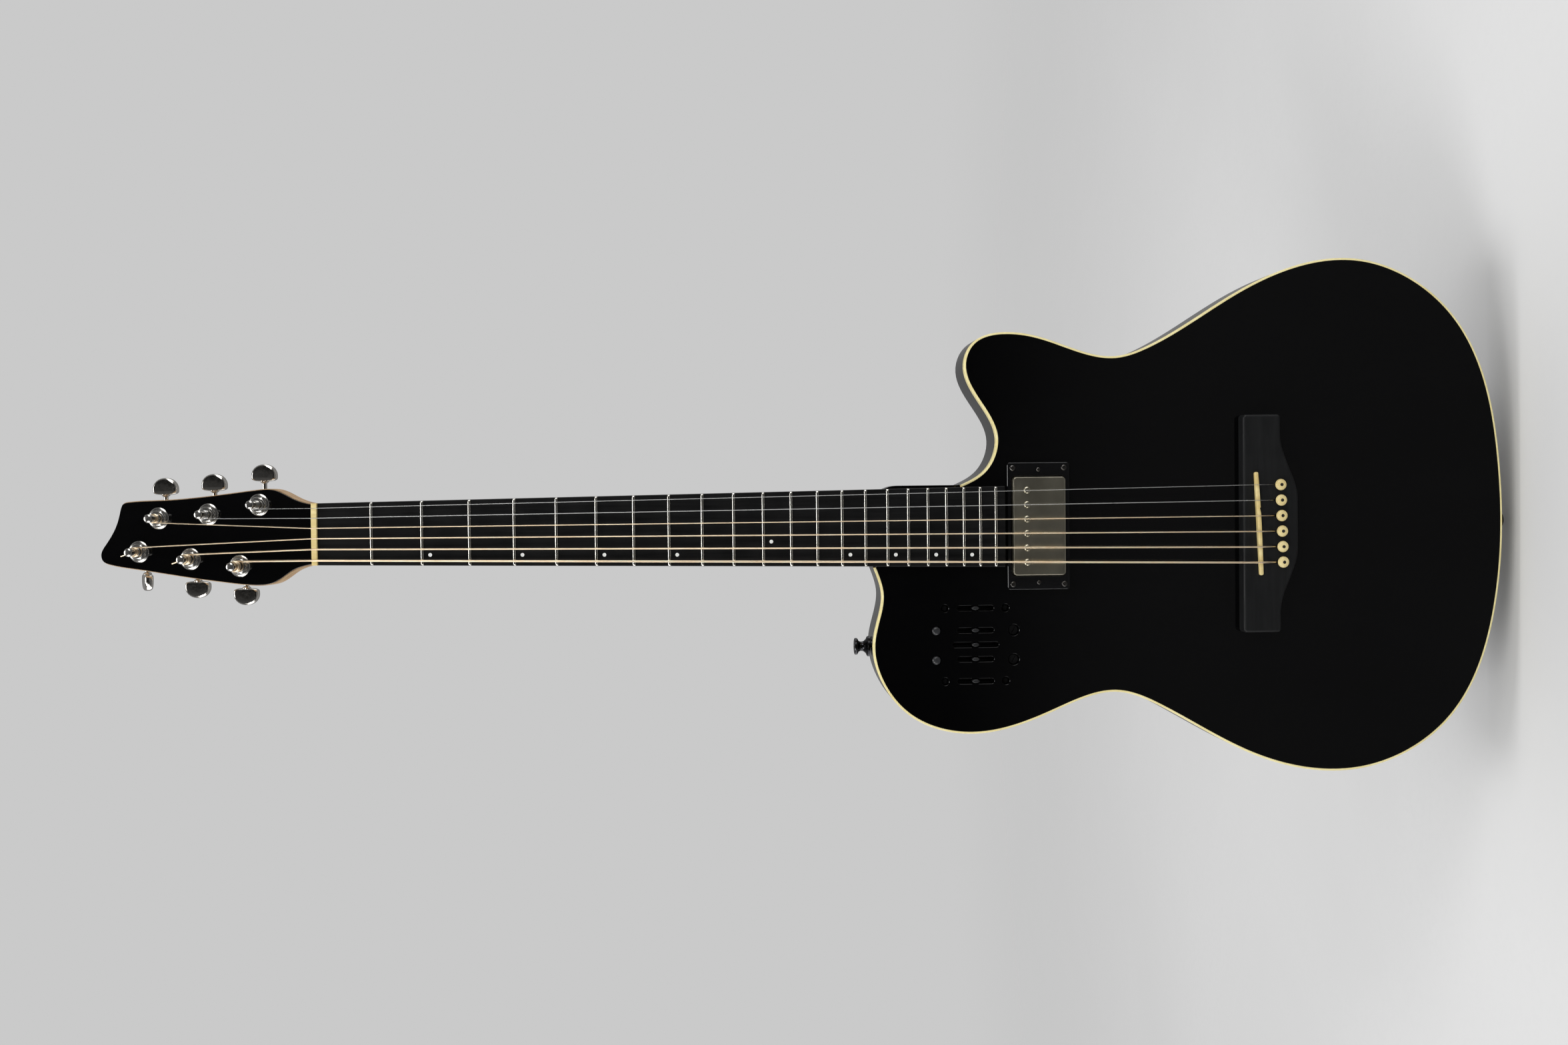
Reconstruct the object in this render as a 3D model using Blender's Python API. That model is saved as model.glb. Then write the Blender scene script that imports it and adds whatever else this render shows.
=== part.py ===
"""An acoustic-electric guitar: chambered body, bolted neck, raked headstock and a slider preamp.

Metres, +Z towards the headstock, the face towards -Y, +X on the treble (cutaway) side.
The origin is on the centre line at the front edge of the nut, on the fingerboard's surface.
"""
import bpy
import bmesh
import math
import numpy as np
from mathutils import Matrix, Vector

MM = 0.001
GAP = 0.3 * MM

# Strings and scale, from the high E to the low E
SCALE_LENGTH = 648.0 * MM
STRING_DIAMETERS = [0.305 * MM, 0.406 * MM, 0.61 * MM, 0.813 * MM, 1.067 * MM, 1.346 * MM]
STRING_NAMES = ["string_1", "string_2", "string_3", "string_4", "string_5", "string_6"]
NUT_SPAN = 35.8 * MM
SADDLE_SPAN = 54.0 * MM
NUT_ACTION = 0.5 * MM
SADDLE_RISE = 4.6 * MM
BASS_COMPENSATION = 2.6 * MM

# Neck and fingerboard
NECK_TILT = math.radians(0.6)
NUT_WIDTH = 42.6 * MM
NUT_THICK = 4.9 * MM
NUT_HEAD_ROOM = 0.35 * MM
BOARD_PAST_FRETS = 6.34 * MM
BOARD_END_WIDTH = 56.1 * MM
BOARD_THICK = 6.0 * MM
BOARD_RADIUS = 406.0 * MM
BOARD_ARC_STEPS = 6
FRET_COUNT = 22
FRET_WIDTH = 2.2 * MM
FRET_HEIGHT = 1.1 * MM
FRET_END_INSET = 0.4 * MM
FRET_ARC_STEPS = 3
TANG_HALF = 0.4 * MM
TIE_HALF = 0.8 * MM
TIE_THICK = 1.2 * MM
NECK_DEPTH_AT_NUT = 14.6 * MM
NECK_DEPTH_AT_HEEL = 17.2 * MM
NECK_SECTION_STEPS = 10
NECK_SHOULDER = 0.75
NECK_STATIONS = 4
NECK_JOINT_ABOVE_SADDLE = 265.0 * MM
HEEL_LEAD = 14.0 * MM
TENON_PICKUP_CLEARANCE = 7.5011 * MM
TENON_DEPTH = 17.8 * MM
ROD_WIDTH = 5.8 * MM
ROD_DEPTH = 9.0 * MM
ROD_START = 12.0 * MM
ROD_LENGTH = 350.0 * MM
BOLT_RADIUS = 2.2 * MM
BOLT_GRIP = 12.0 * MM
BOLT_HALF_SPACING = 11.0 * MM
BOLT_INSET = 18.0 * MM
BOLT_PITCH = 48.0 * MM
NECK_PLATE_THICK = 1.5 * MM
NECK_PLATE_MARGIN = 6.0 * MM

# Headstock: x across and distance along its face from the nut's back edge
HEAD_TILT = math.radians(10.0)
HEAD_THICK = 14.0 * MM
VENEER_THICK = 1.5 * MM
HEAD_KNOTS = [
    (21.0, 0.0), (22.2, 6.0), (25.2, 14.0), (31.2, 28.0), (31.2, 39.2), (26.9, 78.2), (24.6, 113.6),
    (23.7, 135.5), (22.3, 140.4), (17.5, 142.6), (9.2, 145.0), (-6.5, 154.3), (-12.7, 157.7),
    (-17.8, 156.6), (-20.8, 150.5), (-24.2, 129.4), (-29.1, 96.9), (-33.6, 61.9), (-35.3, 43.0),
    (-33.4, 28.0), (-24.9, 14.0), (-22.2, 6.0), (-21.0, 0.0)]

# Tuners, one for each string in string order
POST_X = [20.6 * MM, 14.3 * MM, 11.9 * MM, -11.4 * MM, -16.6 * MM, -21.6 * MM]
POST_ALONG = [38.6 * MM, 76.2 * MM, 113.2 * MM, 128.4 * MM, 89.9 * MM, 53.4 * MM]
POST_RADIUS = 3.0 * MM
POST_WAIST_RADIUS = 2.4 * MM
POST_HEIGHT = 14.8 * MM
POST_SHOULDER = 0.8 * MM
POST_CAP = 3.0 * MM
WRAP_START_HEIGHT = 5.0 * MM
WRAP_SPACE = 0.46 * MM
WRAP_POINTS = 8
PLAIN_WRAPS = 3
WOUND_WRAPS = 2
WRAP_END_TURN = 0.14
TAIL_LENGTH = 3.6 * MM
BUSHING_RADIUS = 7.6 * MM
BUSHING_HEIGHT = 3.1 * MM
BUSHING_SLEEVE = 4.6 * MM
BUSHING_NUT = 5.4 * MM
WASHER_HEIGHT = 1.1 * MM
HOUSING_WIDTH = 14.0 * MM
HOUSING_LENGTH = 19.0 * MM
HOUSING_DEPTH = 9.4 * MM
HOUSING_CORNER = 3.0 * MM
WHEEL_RADIUS = 3.4 * MM
WHEEL_HALF = 2.2 * MM
WORM_RADIUS = 1.5 * MM
WORM_REACH = 4.0 * MM
KEY_SHAFT_RADIUS = 1.6 * MM
KEY_REACH = 22.4 * MM
KEY_WIDTH = 18.6 * MM
KEY_TALL = 12.0 * MM
KEY_THICK = 5.6 * MM
KEY_COLLAR_RADIUS = 2.9 * MM
KEY_COLLAR = 1.6 * MM
KEY_POINTS = 12
KEY_SQUARENESS = 0.8
TURNED_KEY = 3
TURNED_KEY_ANGLE = math.radians(72.0)

# Body: knots are x and the height above the saddle line, along the inner edge of the binding
BODY_KNOTS = [
    (27.6, 204.6), (37.6, 187.8), (60.9, 178.6), (93.3, 194.1), (113.0, 200.7), (126.7, 195.1),
    (133.8, 172.0), (129.6, 146.6), (116.7, 94.1), (123.9, 71.7), (164.7, 2.1), (183.2, -79.1),
    (147.1, -141.6), (42.0, -176.4), (-56.2, -174.0), (-137.8, -141.0), (-172.0, -80.5),
    (-163.4, -6.0), (-127.0, 63.4), (-115.7, 94.6), (-129.4, 143.4), (-143.3, 202.8),
    (-130.5, 241.1), (-107.9, 259.7), (-80.0, 265.8), (-46.5, 259.7), (-27.7, 265.0)]
HEEL_CORNER_RADIUS = 17.0 * MM
BODY_DEPTH = 50.0 * MM
BACK_ROUNDING = 12.0 * MM
BACK_ROUND_STEPS = 3
TOP_THICK = 5.7 * MM
BINDING_WIDTH = 1.6 * MM
BINDING_ROUNDING = 0.8 * MM
RIM_WALL = 15.0 * MM
BACK_WALL = 7.0 * MM
CENTRE_BLOCK_HALF = 46.0 * MM

# Bridge
BRIDGE_LENGTH = 152.0 * MM
BRIDGE_WIDTH = 26.5 * MM
BRIDGE_BELLY = 12.4 * MM
BRIDGE_THICK = 10.0 * MM
BRIDGE_FRONT = 9.0 * MM
BRIDGE_EDGE = 1.6 * MM
BELLY_POINTS = 13
BELLY_START = 62.0 * MM
BELLY_FLAT = 17.0 * MM
SADDLE_LENGTH = 72.0 * MM
SADDLE_THICK = 3.0 * MM
SADDLE_BACK_DROP = 0.75 * MM
SADDLE_SLOT_DEPTH = 8.0 * MM
TRANSDUCER_THICK = 1.4 * MM
PIN_SETBACK = 16.9 * MM
PIN_SLANT = 1.6 * MM
PIN_COLLAR_RADIUS = 2.4 * MM
PIN_TIP_RADIUS = 1.7 * MM
PIN_HEAD_RADIUS = 4.0 * MM
PIN_HEAD_HEIGHT = 3.0 * MM
PIN_LENGTH = 22.0 * MM
PIN_WELL_DEPTH = 26.0 * MM
PIN_TIE_HALF = 1.0 * MM
PIN_TIE_THICK = 3.0 * MM
RAMP_REACH = 8.2 * MM
RAMP_DEPTH = 4.0 * MM
BALL_RADIUS = 1.9 * MM
BALL_LENGTH = 3.6 * MM
BALL_DEPTH = 13.0 * MM

# Magnetic pickup in its ring; heights are above the body's top
PICKUP_LENGTH = 68.6 * MM
PICKUP_WIDTH = 36.8 * MM
RING_BOARD_CLEARANCE = 2.2 * MM
PICKUP_HEIGHT = 7.6 * MM
PICKUP_CORNER = 2.5 * MM
PICKUP_SHELL = 0.8 * MM
PICKUP_TALL = 17.0 * MM
RING_LENGTH = 88.6 * MM
RING_WIDTH = 43.6 * MM
RING_HEIGHT = 3.4 * MM
RING_CORNER = 1.6 * MM
RING_MARGIN = 0.6 * MM
RING_SCREW_INSET = 3.8 * MM
RING_SCREW_RADIUS = 2.0 * MM
RING_SCREW_SHANK = 1.1 * MM
RING_SCREW_HEAD = 0.8 * MM
HEIGHT_SCREW_RADIUS = 1.5 * MM
HEIGHT_SCREW_SHANK = 0.9 * MM
EAR_HALF_WIDTH = 7.0 * MM
BASE_THICK = 1.5 * MM
PICKUP_EDGE = 0.7 * MM
PICKUP_WELL_DEPTH = 22.0 * MM
POLE_PITCH = 10.0 * MM
POLE_OFFSET = 8.6 * MM
POLE_RADIUS = 2.4 * MM
POLE_SHANK = 1.5 * MM
POLE_PROUD = 0.7 * MM
KEEPER_HALF = 1.9 * MM
KEEPER_THICK = 3.0 * MM
COIL_LENGTH = 62.0 * MM
COIL_WIDTH = 33.0 * MM

# Preamp on the bass upper bout; across is from the centre line, up from the saddle line
SLOT_ACROSS = [-57.0 * MM, -72.5 * MM, -82.6 * MM, -92.7 * MM, -108.1 * MM]
SLOT_TRAVEL = [9.8 * MM, 9.8 * MM, 13.2 * MM, 9.8 * MM, 9.8 * MM]
SLOT_UP = 195.7 * MM
SLOT_WIDTH = 3.4 * MM
SLOT_END_ROOM = 0.45 * MM
LEVER_LENGTH = 5.2 * MM
LEVER_WIDTH = 2.6 * MM
LEVER_PROUD = 0.8 * MM
LEVER_STEM_WIDTH = 1.2 * MM
LEVER_STEM_LENGTH = 3.6 * MM
LEVER_BITE = 4.0 * MM
SLIDER_CASE_WIDTH = 7.0 * MM
SLIDER_CASE_END = 3.0 * MM
SLIDER_CASE_DROP = 7.2 * MM
BOARD_DROP = 15.4 * MM
CIRCUIT_THICK = 1.6 * MM
CAVITY_MARGIN = 6.0 * MM
CAVITY_CLEARANCE = 1.0 * MM
BUTTON_ACROSS = [-72.6 * MM, -93.2 * MM]
BUTTON_UP = 223.3 * MM
BUTTON_RADIUS = 3.0 * MM
BUTTON_PROUD = 1.7 * MM
BUTTON_TRAVEL = 1.2 * MM
BUTTON_LENGTH = 10.0 * MM
SWITCH_CASE = 9.0 * MM
TRIM_UP = 168.9 * MM
TRIM_RADIUS = 3.6 * MM
TRIM_RECESS = 1.4 * MM
PREAMP_SCREW_UP = [217.2 * MM, 174.6 * MM]
PREAMP_SCREW_HOLE = 2.6 * MM
PREAMP_SCREW_RADIUS = 2.2 * MM
PREAMP_SCREW_RECESS = 2.2 * MM
PREAMP_SCREW_HEAD = 1.3 * MM
PREAMP_SCREW_SHANK = 1.1 * MM
STANDOFF_RADIUS = 3.6 * MM

# Back: cover plate over the preamp and the battery compartment
COVER_THICK = 1.8 * MM
COVER_LEDGE = 5.6 * MM
COVER_CORNER = 8.0 * MM
COVER_SCREW_SHANK = 1.1 * MM
COVER_SCREW_LENGTH = 12.0 * MM
BATTERY_ACROSS = -8.0 * MM
BATTERY_UP = 75.0 * MM
BATTERY_LENGTH = 48.5 * MM
BATTERY_WIDTH = 26.5 * MM
BATTERY_TALL = 17.5 * MM
BATTERY_ROOM = 1.2 * MM
BATTERY_BOX_WALL = 1.8 * MM
BATTERY_FLANGE = 4.0 * MM
BATTERY_RIM_THICK = 3.6 * MM
TERMINAL_HEIGHT = 3.0 * MM
TERMINAL_RADIUS = 2.9 * MM
TERMINAL_PITCH = 12.7 * MM
LID_THICK = 2.2 * MM
LID_MARGIN = 1.4 * MM

# Output jacks on the treble rim of the lower bout, and the strap buttons
JACK_UP = -65.0 * MM
JACK_DEPTH = 25.0 * MM
JACK_PITCH = 21.0 * MM
JACK_BORE_RADIUS = 3.4 * MM
JACK_BUSHING_RADIUS = 4.7 * MM
JACK_NUT_RADIUS = 6.6 * MM
JACK_NUT_THICK = 2.4 * MM
JACK_CASE_RADIUS = 7.0 * MM
JACK_LENGTH = 27.0 * MM
PLATE_LENGTH = 45.0 * MM
PLATE_WIDTH = 20.0 * MM
PLATE_THICK = 1.6 * MM
PLATE_RECESS = 2.6 * MM
PLATE_CORNER = 4.0 * MM
JACK_END_WALL = 1.5 * MM
STRAP_HEAD_RADIUS = 5.9 * MM
STRAP_BASE_RADIUS = 7.2 * MM
STRAP_WAIST_RADIUS = 3.4 * MM
STRAP_LENGTH = 11.2 * MM
STRAP_SCREW_RADIUS = 1.9 * MM
STRAP_SCREW_LENGTH = 22.0 * MM
STRAP_ACROSS = -84.9 * MM

# Worked out from the sizes above
NECK_JOINT = SCALE_LENGTH - NECK_JOINT_ABOVE_SADDLE
LAST_FRET = SCALE_LENGTH * (1.0 - 2.0 ** (-FRET_COUNT / 12.0))
BOARD_LENGTH = LAST_FRET + BOARD_PAST_FRETS
PICKUP_UP = SCALE_LENGTH - BOARD_LENGTH - RING_BOARD_CLEARANCE - RING_WIDTH / 2.0
PICKUP_CAVITY_TOP = PICKUP_UP + PICKUP_WIDTH / 2.0 + RING_MARGIN
TENON_LENGTH = NECK_JOINT_ABOVE_SADDLE - PICKUP_CAVITY_TOP - TENON_PICKUP_CLEARANCE
TOP_Y = BOARD_THICK + GAP - NECK_JOINT * math.sin(NECK_TILT)
NECK = Matrix.Rotation(-NECK_TILT, 4, "X")
HEAD = NECK @ Matrix.Translation((0.0, BOARD_THICK - VENEER_THICK, NUT_THICK)) @ Matrix.Rotation(
    -HEAD_TILT, 4, "X")
BODY = Matrix.Translation((0.0, TOP_Y, -SCALE_LENGTH * math.cos(NECK_TILT)))
CORE_FRONT = TOP_THICK + GAP
WRAP_GAPS = []


def clear_scene():
    for item in list(bpy.data.objects):
        bpy.data.objects.remove(item, do_unlink=True)


def material(name, colour, roughness, metallic=0.0):
    made = bpy.data.materials.get(name)
    if made:
        return made
    made = bpy.data.materials.new(name)
    made.use_nodes = True
    shader = made.node_tree.nodes["Principled BSDF"]
    shader.inputs["Base Color"].default_value = (*colour, 1.0)
    shader.inputs["Roughness"].default_value = roughness
    shader.inputs["Metallic"].default_value = metallic
    return made


def gloss_black():
    return material("gloss_black", (0.006, 0.006, 0.007), 0.08)


def satin_black():
    return material("satin_black", (0.02, 0.02, 0.022), 0.5)


def cream():
    return material("cream", (0.82, 0.72, 0.48), 0.4)


def nickel():
    return material("nickel", (0.62, 0.58, 0.52), 0.25, 1.0)


def bronze():
    return material("bronze", (0.72, 0.45, 0.24), 0.3, 1.0)


def steel():
    return material("steel", (0.72, 0.72, 0.72), 0.25, 1.0)


def wood():
    return material("wood", (0.45, 0.27, 0.14), 0.55)


# Outlines

def spline(knots, step):
    """Points every step or so along the natural cubic spline through the knots."""
    k = np.array(knots, dtype=float)
    chord = np.linalg.norm(np.diff(k, axis=0), axis=1)
    along = np.concatenate([[0.0], np.cumsum(chord)])
    count = len(k)
    system = np.eye(count)
    right = np.zeros_like(k)
    for i in range(1, count - 1):
        system[i, i - 1:i + 2] = chord[i - 1], 2.0 * (chord[i - 1] + chord[i]), chord[i]
        right[i] = 6.0 * ((k[i + 1] - k[i]) / chord[i] - (k[i] - k[i - 1]) / chord[i - 1])
    bend = np.linalg.solve(system, right)
    points = []
    for s in np.linspace(0.0, along[-1], int(along[-1] / step) + 1):
        j = min(int(np.searchsorted(along, s, side="right")) - 1, count - 2)
        a = (along[j + 1] - s) / chord[j]
        b = 1.0 - a
        curve = ((a ** 3 - a) * bend[j] + (b ** 3 - b) * bend[j + 1]) * chord[j] ** 2 / 6.0
        points.append(tuple(a * k[j] + b * k[j + 1] + curve))
    return points


def arc(centre_x, centre_z, radius, start, end, steps):
    """Points on an arc, angles in degrees."""
    turn = [math.radians(start + (end - start) * i / steps) for i in range(steps + 1)]
    return [(centre_x + radius * math.cos(t), centre_z + radius * math.sin(t)) for t in turn]


def thin_out(points, turn_limit, step_limit):
    """Keeps the points that a bend or a long run needs."""
    kept = [points[0]]
    turned = 0.0
    for i in range(1, len(points) - 1):
        before = math.atan2(points[i][1] - points[i - 1][1], points[i][0] - points[i - 1][0])
        after = math.atan2(points[i + 1][1] - points[i][1], points[i + 1][0] - points[i][0])
        turned += abs(math.remainder(after - before, math.tau))
        if turned > turn_limit or math.dist(points[i], kept[-1]) > step_limit:
            kept.append(points[i])
            turned = 0.0
    return kept + [points[-1]]


def signed_area(points):
    ring = zip(points, points[1:] + points[:1])
    return 0.5 * sum(a[0] * b[1] - b[0] * a[1] for a, b in ring)


def inset(points, amount):
    """The closed outline moved inwards by amount, point for point."""
    side = 1.0 if signed_area(points) > 0 else -1.0
    count = len(points)
    moved = []
    for i in range(count):
        back = Vector(points[i]) - Vector(points[i - 1])
        ahead = Vector(points[(i + 1) % count]) - Vector(points[i])
        along = (back.normalized() + ahead.normalized()).normalized()
        normal = Vector((-along.y, along.x)) * side
        stretch = max(along.dot(ahead.normalized()), 0.5)
        moved.append(tuple(Vector(points[i]) + normal * amount / stretch))
    return moved


def rounded_rectangle(x0, x1, z0, z1, radius, steps=3):
    corners = [(x1 - radius, z1 - radius, 0), (x0 + radius, z1 - radius, 90),
               (x0 + radius, z0 + radius, 180), (x1 - radius, z0 + radius, 270)]
    outline = []
    for x, z, angle in corners:
        outline += arc(x, z, radius, angle, angle + 90, steps)
    return outline


def capsule(x, z0, z1, radius, steps=3):
    """A slot's outline along z, z0 to z1 over its round ends."""
    return arc(x, z1 - radius, radius, 0, 180, steps) + arc(x, z0 + radius, radius, 180, 360, steps)


def body_edge():
    """The open inner edge of the binding, from the neck's treble side round to its bass side."""
    knots = [(x * MM, z * MM) for x, z in BODY_KNOTS]
    return thin_out(spline(knots, 1.5 * MM), math.radians(11.5), 32.0 * MM)


def heel_edge(edge):
    """Closes the outline under the neck: along the shoulder and down the round heel corner."""
    x = edge[0][0]
    z = edge[-1][1]
    r = HEEL_CORNER_RADIUS
    return [(-0.5 * r, z)] + arc(x - r, z - r, r, 90, 0, 4)


def body_outline():
    edge = body_edge()
    return edge + heel_edge(edge)


def head_outline():
    knots = [(x * MM, z * MM) for x, z in HEAD_KNOTS]
    return thin_out(spline(knots, 0.6 * MM), math.radians(16.0), 34.0 * MM)


# Meshes

def mesh_from(name, verts, faces):
    """A mesh with all its closed bodies facing outwards."""
    mesh = bpy.data.meshes.new(name)
    bm = bmesh.new()
    made = [bm.verts.new(v) for v in verts]
    for face in faces:
        bm.faces.new([made[i] for i in face])
    bmesh.ops.recalc_face_normals(bm, faces=bm.faces)
    bm.to_mesh(mesh)
    bm.free()
    return mesh


def loft(rings):
    """Rings of equal count skinned in order, with both ends capped."""
    count = len(rings[0])
    verts = [v for ring in rings for v in ring]
    faces = [tuple(range(count)), tuple(range(len(verts) - count, len(verts)))]
    for r in range(len(rings) - 1):
        a = r * count
        b = a + count
        for i in range(count):
            j = (i + 1) % count
            faces.append((a + i, a + j, b + j, b + i))
    return verts, faces


def prism(outline, y0, y1):
    return loft([[(x, y0, z) for x, z in outline], [(x, y1, z) for x, z in outline]])


def box(x0, x1, y0, y1, z0, z1):
    return prism([(x0, z0), (x1, z0), (x1, z1), (x0, z1)], y0, y1)


def turned(profile, sides, centre=(0.0, 0.0, 0.0), axis="Y", phase=0.0):
    """A profile of (radius, distance) pairs turned about an axis; every radius is above zero."""
    rings = []
    for radius, far in profile:
        ring = []
        for i in range(sides):
            t = math.tau * i / sides + phase
            u = radius * math.cos(t)
            v = radius * math.sin(t)
            place = {"X": (far, u, v), "Y": (u, far, v), "Z": (u, v, far)}[axis]
            ring.append(tuple(c + p for c, p in zip(centre, place)))
        rings.append(ring)
    return loft(rings)


def rod(radius, start, end, sides, centre=(0.0, 0.0, 0.0), axis="Y"):
    return turned([(radius, start), (radius, end)], sides, centre, axis)


def joined(shapes):
    """Several closed bodies as one list of vertices and faces."""
    verts = []
    faces = []
    for v, f in shapes:
        shift = len(verts)
        verts += v
        faces += [tuple(i + shift for i in face) for face in f]
    return verts, faces


# Objects

def add(name, shape, finish, frame=None):
    mesh = mesh_from(name, *shape)
    made = bpy.data.objects.new(name, mesh)
    bpy.context.scene.collection.objects.link(made)
    made.data.materials.append(finish)
    made.matrix_world = frame or Matrix.Identity(4)
    mesh.shade_smooth()
    mesh.set_sharp_from_angle(angle=math.radians(32.0))
    return made


def tool(name, shape, frame=None):
    """A cutter or a joining piece, which isn't itself a part."""
    made = add(name, shape, satin_black(), frame)
    made.hide_render = True
    made.display_type = "WIRE"
    return made


def combine(target, other, operation):
    change = target.modifiers.new(other.name, "BOOLEAN")
    change.operation = operation
    change.solver = "EXACT"
    change.object = other


def cut(target, name, shape, frame=None):
    combine(target, tool(name, shape, frame), "DIFFERENCE")


def fuse(target, name, shape, frame=None):
    combine(target, tool(name, shape, frame), "UNION")


# Places shared by several pieces

def fret_distance(number):
    return SCALE_LENGTH * (1.0 - 2.0 ** (-number / 12.0))


def board_width(distance):
    return NUT_WIDTH + (BOARD_END_WIDTH - NUT_WIDTH) * distance / BOARD_LENGTH


def board_drop(x):
    """How far the cambered board lies below its crown at x."""
    return BOARD_RADIUS - math.sqrt(BOARD_RADIUS ** 2 - x ** 2)


def nut_string_x():
    """Strings at the nut have even room between them, whatever their thickness."""
    sums = [(a + b) / 2.0 for a, b in zip(STRING_DIAMETERS, STRING_DIAMETERS[1:])]
    room = (NUT_SPAN - sum(sums)) / len(sums)
    places = [NUT_SPAN / 2.0]
    for s in sums:
        places.append(places[-1] - room - s)
    return places


def saddle_string_x():
    last = len(STRING_DIAMETERS) - 1
    return [SADDLE_SPAN * (0.5 - i / last) for i in range(last + 1)]


def string_x(index, distance):
    """Where a string lies across the board at a distance from the nut."""
    a = nut_string_x()[index]
    b = saddle_string_x()[index]
    return a + (b - a) * distance / SCALE_LENGTH


def nut_string_point(index, along):
    """A string's centre over the nut, along measured towards the headstock."""
    x = string_x(index, -along)
    radius = STRING_DIAMETERS[index] / 2.0
    return NECK @ Vector((x, board_drop(x) - FRET_HEIGHT - NUT_ACTION - radius, along))


def saddle_string_point(index):
    """A string's centre over the saddle, a little further back on the bass side."""
    x = saddle_string_x()[index]
    radius = STRING_DIAMETERS[index] / 2.0
    back = SCALE_LENGTH + saddle_setback(x)
    return NECK @ Vector((x, board_drop(x) - SADDLE_RISE - radius, -back))


def saddle_setback(x):
    return BASS_COMPENSATION * (0.5 - x / SADDLE_SPAN)


def saddle_top(x):
    """Height of the saddle's crown in the body's frame, negative above the top."""
    place = NECK @ Vector((x, board_drop(x) - SADDLE_RISE + GAP, -SCALE_LENGTH))
    return place.y - TOP_Y


def pin_up(x):
    """Height of a bridge pin's axis above the saddle line."""
    return -(PIN_SETBACK + PIN_SLANT * (0.5 - x / SADDLE_SPAN))


def cavity_box():
    """The preamp cavity's x and z limits, round the controls that it holds."""
    x0 = SLOT_ACROSS[-1] - CAVITY_MARGIN
    x1 = SLOT_ACROSS[0] + CAVITY_MARGIN
    return x0, x1, TRIM_UP - CAVITY_MARGIN, BUTTON_UP + CAVITY_MARGIN


def rim_x():
    return max(x for x, z in body_outline()) + BINDING_WIDTH


def tail_up():
    return min(z for x, z in body_outline()) - BINDING_WIDTH


def edge_up(x):
    """Height of the upper edge of the body's side at x on the bass shoulder."""
    near = [(abs(px - x), z) for px, z in body_outline() if z > 0.0]
    return min(near)[1] + BINDING_WIDTH


def preamp_screw_places():
    return [(x, z) for x in (SLOT_ACROSS[0], SLOT_ACROSS[-1]) for z in PREAMP_SCREW_UP]


def cover_screw_places():
    x0, x1, z0, z1 = cavity_box()
    half = COVER_LEDGE / 2.0
    middle = (x0 + x1) / 2.0
    corners = [(x, z) for x in (x0 + half, x1 - half) for z in (z0 - half, z1 + half)]
    return corners + [(middle, z0 - half), (middle, z1 + half)]


def bolt_places():
    top = SCALE_LENGTH - NECK_JOINT - BOLT_INSET
    return [(x, z) for x in (-BOLT_HALF_SPACING, BOLT_HALF_SPACING) for z in (top, top - BOLT_PITCH)]


def ring_screw_places():
    x = RING_LENGTH / 2.0 - RING_SCREW_INSET
    z = RING_WIDTH / 2.0 - RING_SCREW_INSET
    return [(sx * x, PICKUP_UP + sz * z) for sx in (-1, 1) for sz in (-1, 1)]


def height_screw_places():
    x = (RING_LENGTH + PICKUP_LENGTH) / 4.0
    return [(-x, PICKUP_UP), (x, PICKUP_UP)]


def pole_places():
    last = len(STRING_DIAMETERS) - 1
    return [(POLE_PITCH * (last / 2.0 - i), PICKUP_UP + POLE_OFFSET) for i in range(last + 1)]


def rods_at(places, radius, y0, y1, sides=8):
    return joined([rod(radius, y0, y1, sides, (x, 0.0, z)) for x, z in places])


# Body

def body_skin():
    """The body's outer surface from the rebate of the top to the back's rounded edge."""
    skin = inset(body_outline(), -BINDING_WIDTH)
    straight = BODY_DEPTH - BACK_ROUNDING
    rings = [[(x, CORE_FRONT, z) for x, z in skin]]
    for i in range(BACK_ROUND_STEPS + 1):
        t = math.pi / 2.0 * i / BACK_ROUND_STEPS
        drawn = inset(skin, BACK_ROUNDING * (1.0 - math.cos(t)))
        depth = straight + BACK_ROUNDING * math.sin(t)
        rings.append([(x, depth, z) for x, z in drawn])
    return loft(rings)


def chamber(side):
    """A hollow beside the centre block, below the solid upper bout."""
    inner = inset(body_outline(), RIM_WALL)
    top = TRIM_UP - CAVITY_MARGIN - RIM_WALL
    kept = [p for p in inner if side * p[0] > CENTRE_BLOCK_HALF and p[1] < top]
    ends = [(side * CENTRE_BLOCK_HALF, kept[-1][1]), (side * CENTRE_BLOCK_HALF, kept[0][1])]
    return prism(kept + ends, CORE_FRONT - MM, BODY_DEPTH - BACK_WALL)


def neck_pocket():
    """The room for the tenon, open over the shoulder and on the cutaway side."""
    end = NECK_JOINT + TENON_LENGTH + GAP
    opened = SCALE_LENGTH - BODY_KNOTS[0][1] * MM
    start = NECK_JOINT - 2.0 * HEEL_LEAD
    half_end = board_width(end) / 2.0 + GAP
    beyond = HEEL_CORNER_RADIUS + half_end
    outline = [(-half_end, -end), (half_end, -end), (board_width(opened) / 2.0 + GAP, -opened),
               (beyond, -opened), (beyond, -start), (-board_width(start) / 2.0 - GAP, -start)]
    return prism(outline, -BOARD_THICK, BOARD_THICK + TENON_DEPTH + 2.0 * GAP)


def pickup_well(bottom):
    """The hole under the pickup, with room for the ears at its two ends."""
    x = PICKUP_LENGTH / 2.0 + RING_MARGIN
    z = PICKUP_WIDTH / 2.0 + RING_MARGIN
    ear = RING_LENGTH / 2.0 - RING_SCREW_RADIUS
    low = -MM
    main = box(-x, x, low, bottom, PICKUP_UP - z, PICKUP_UP + z)
    ears = box(-ear, ear, low - MM, bottom - MM, PICKUP_UP - EAR_HALF_WIDTH, PICKUP_UP + EAR_HALF_WIDTH)
    return main, ears


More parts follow.
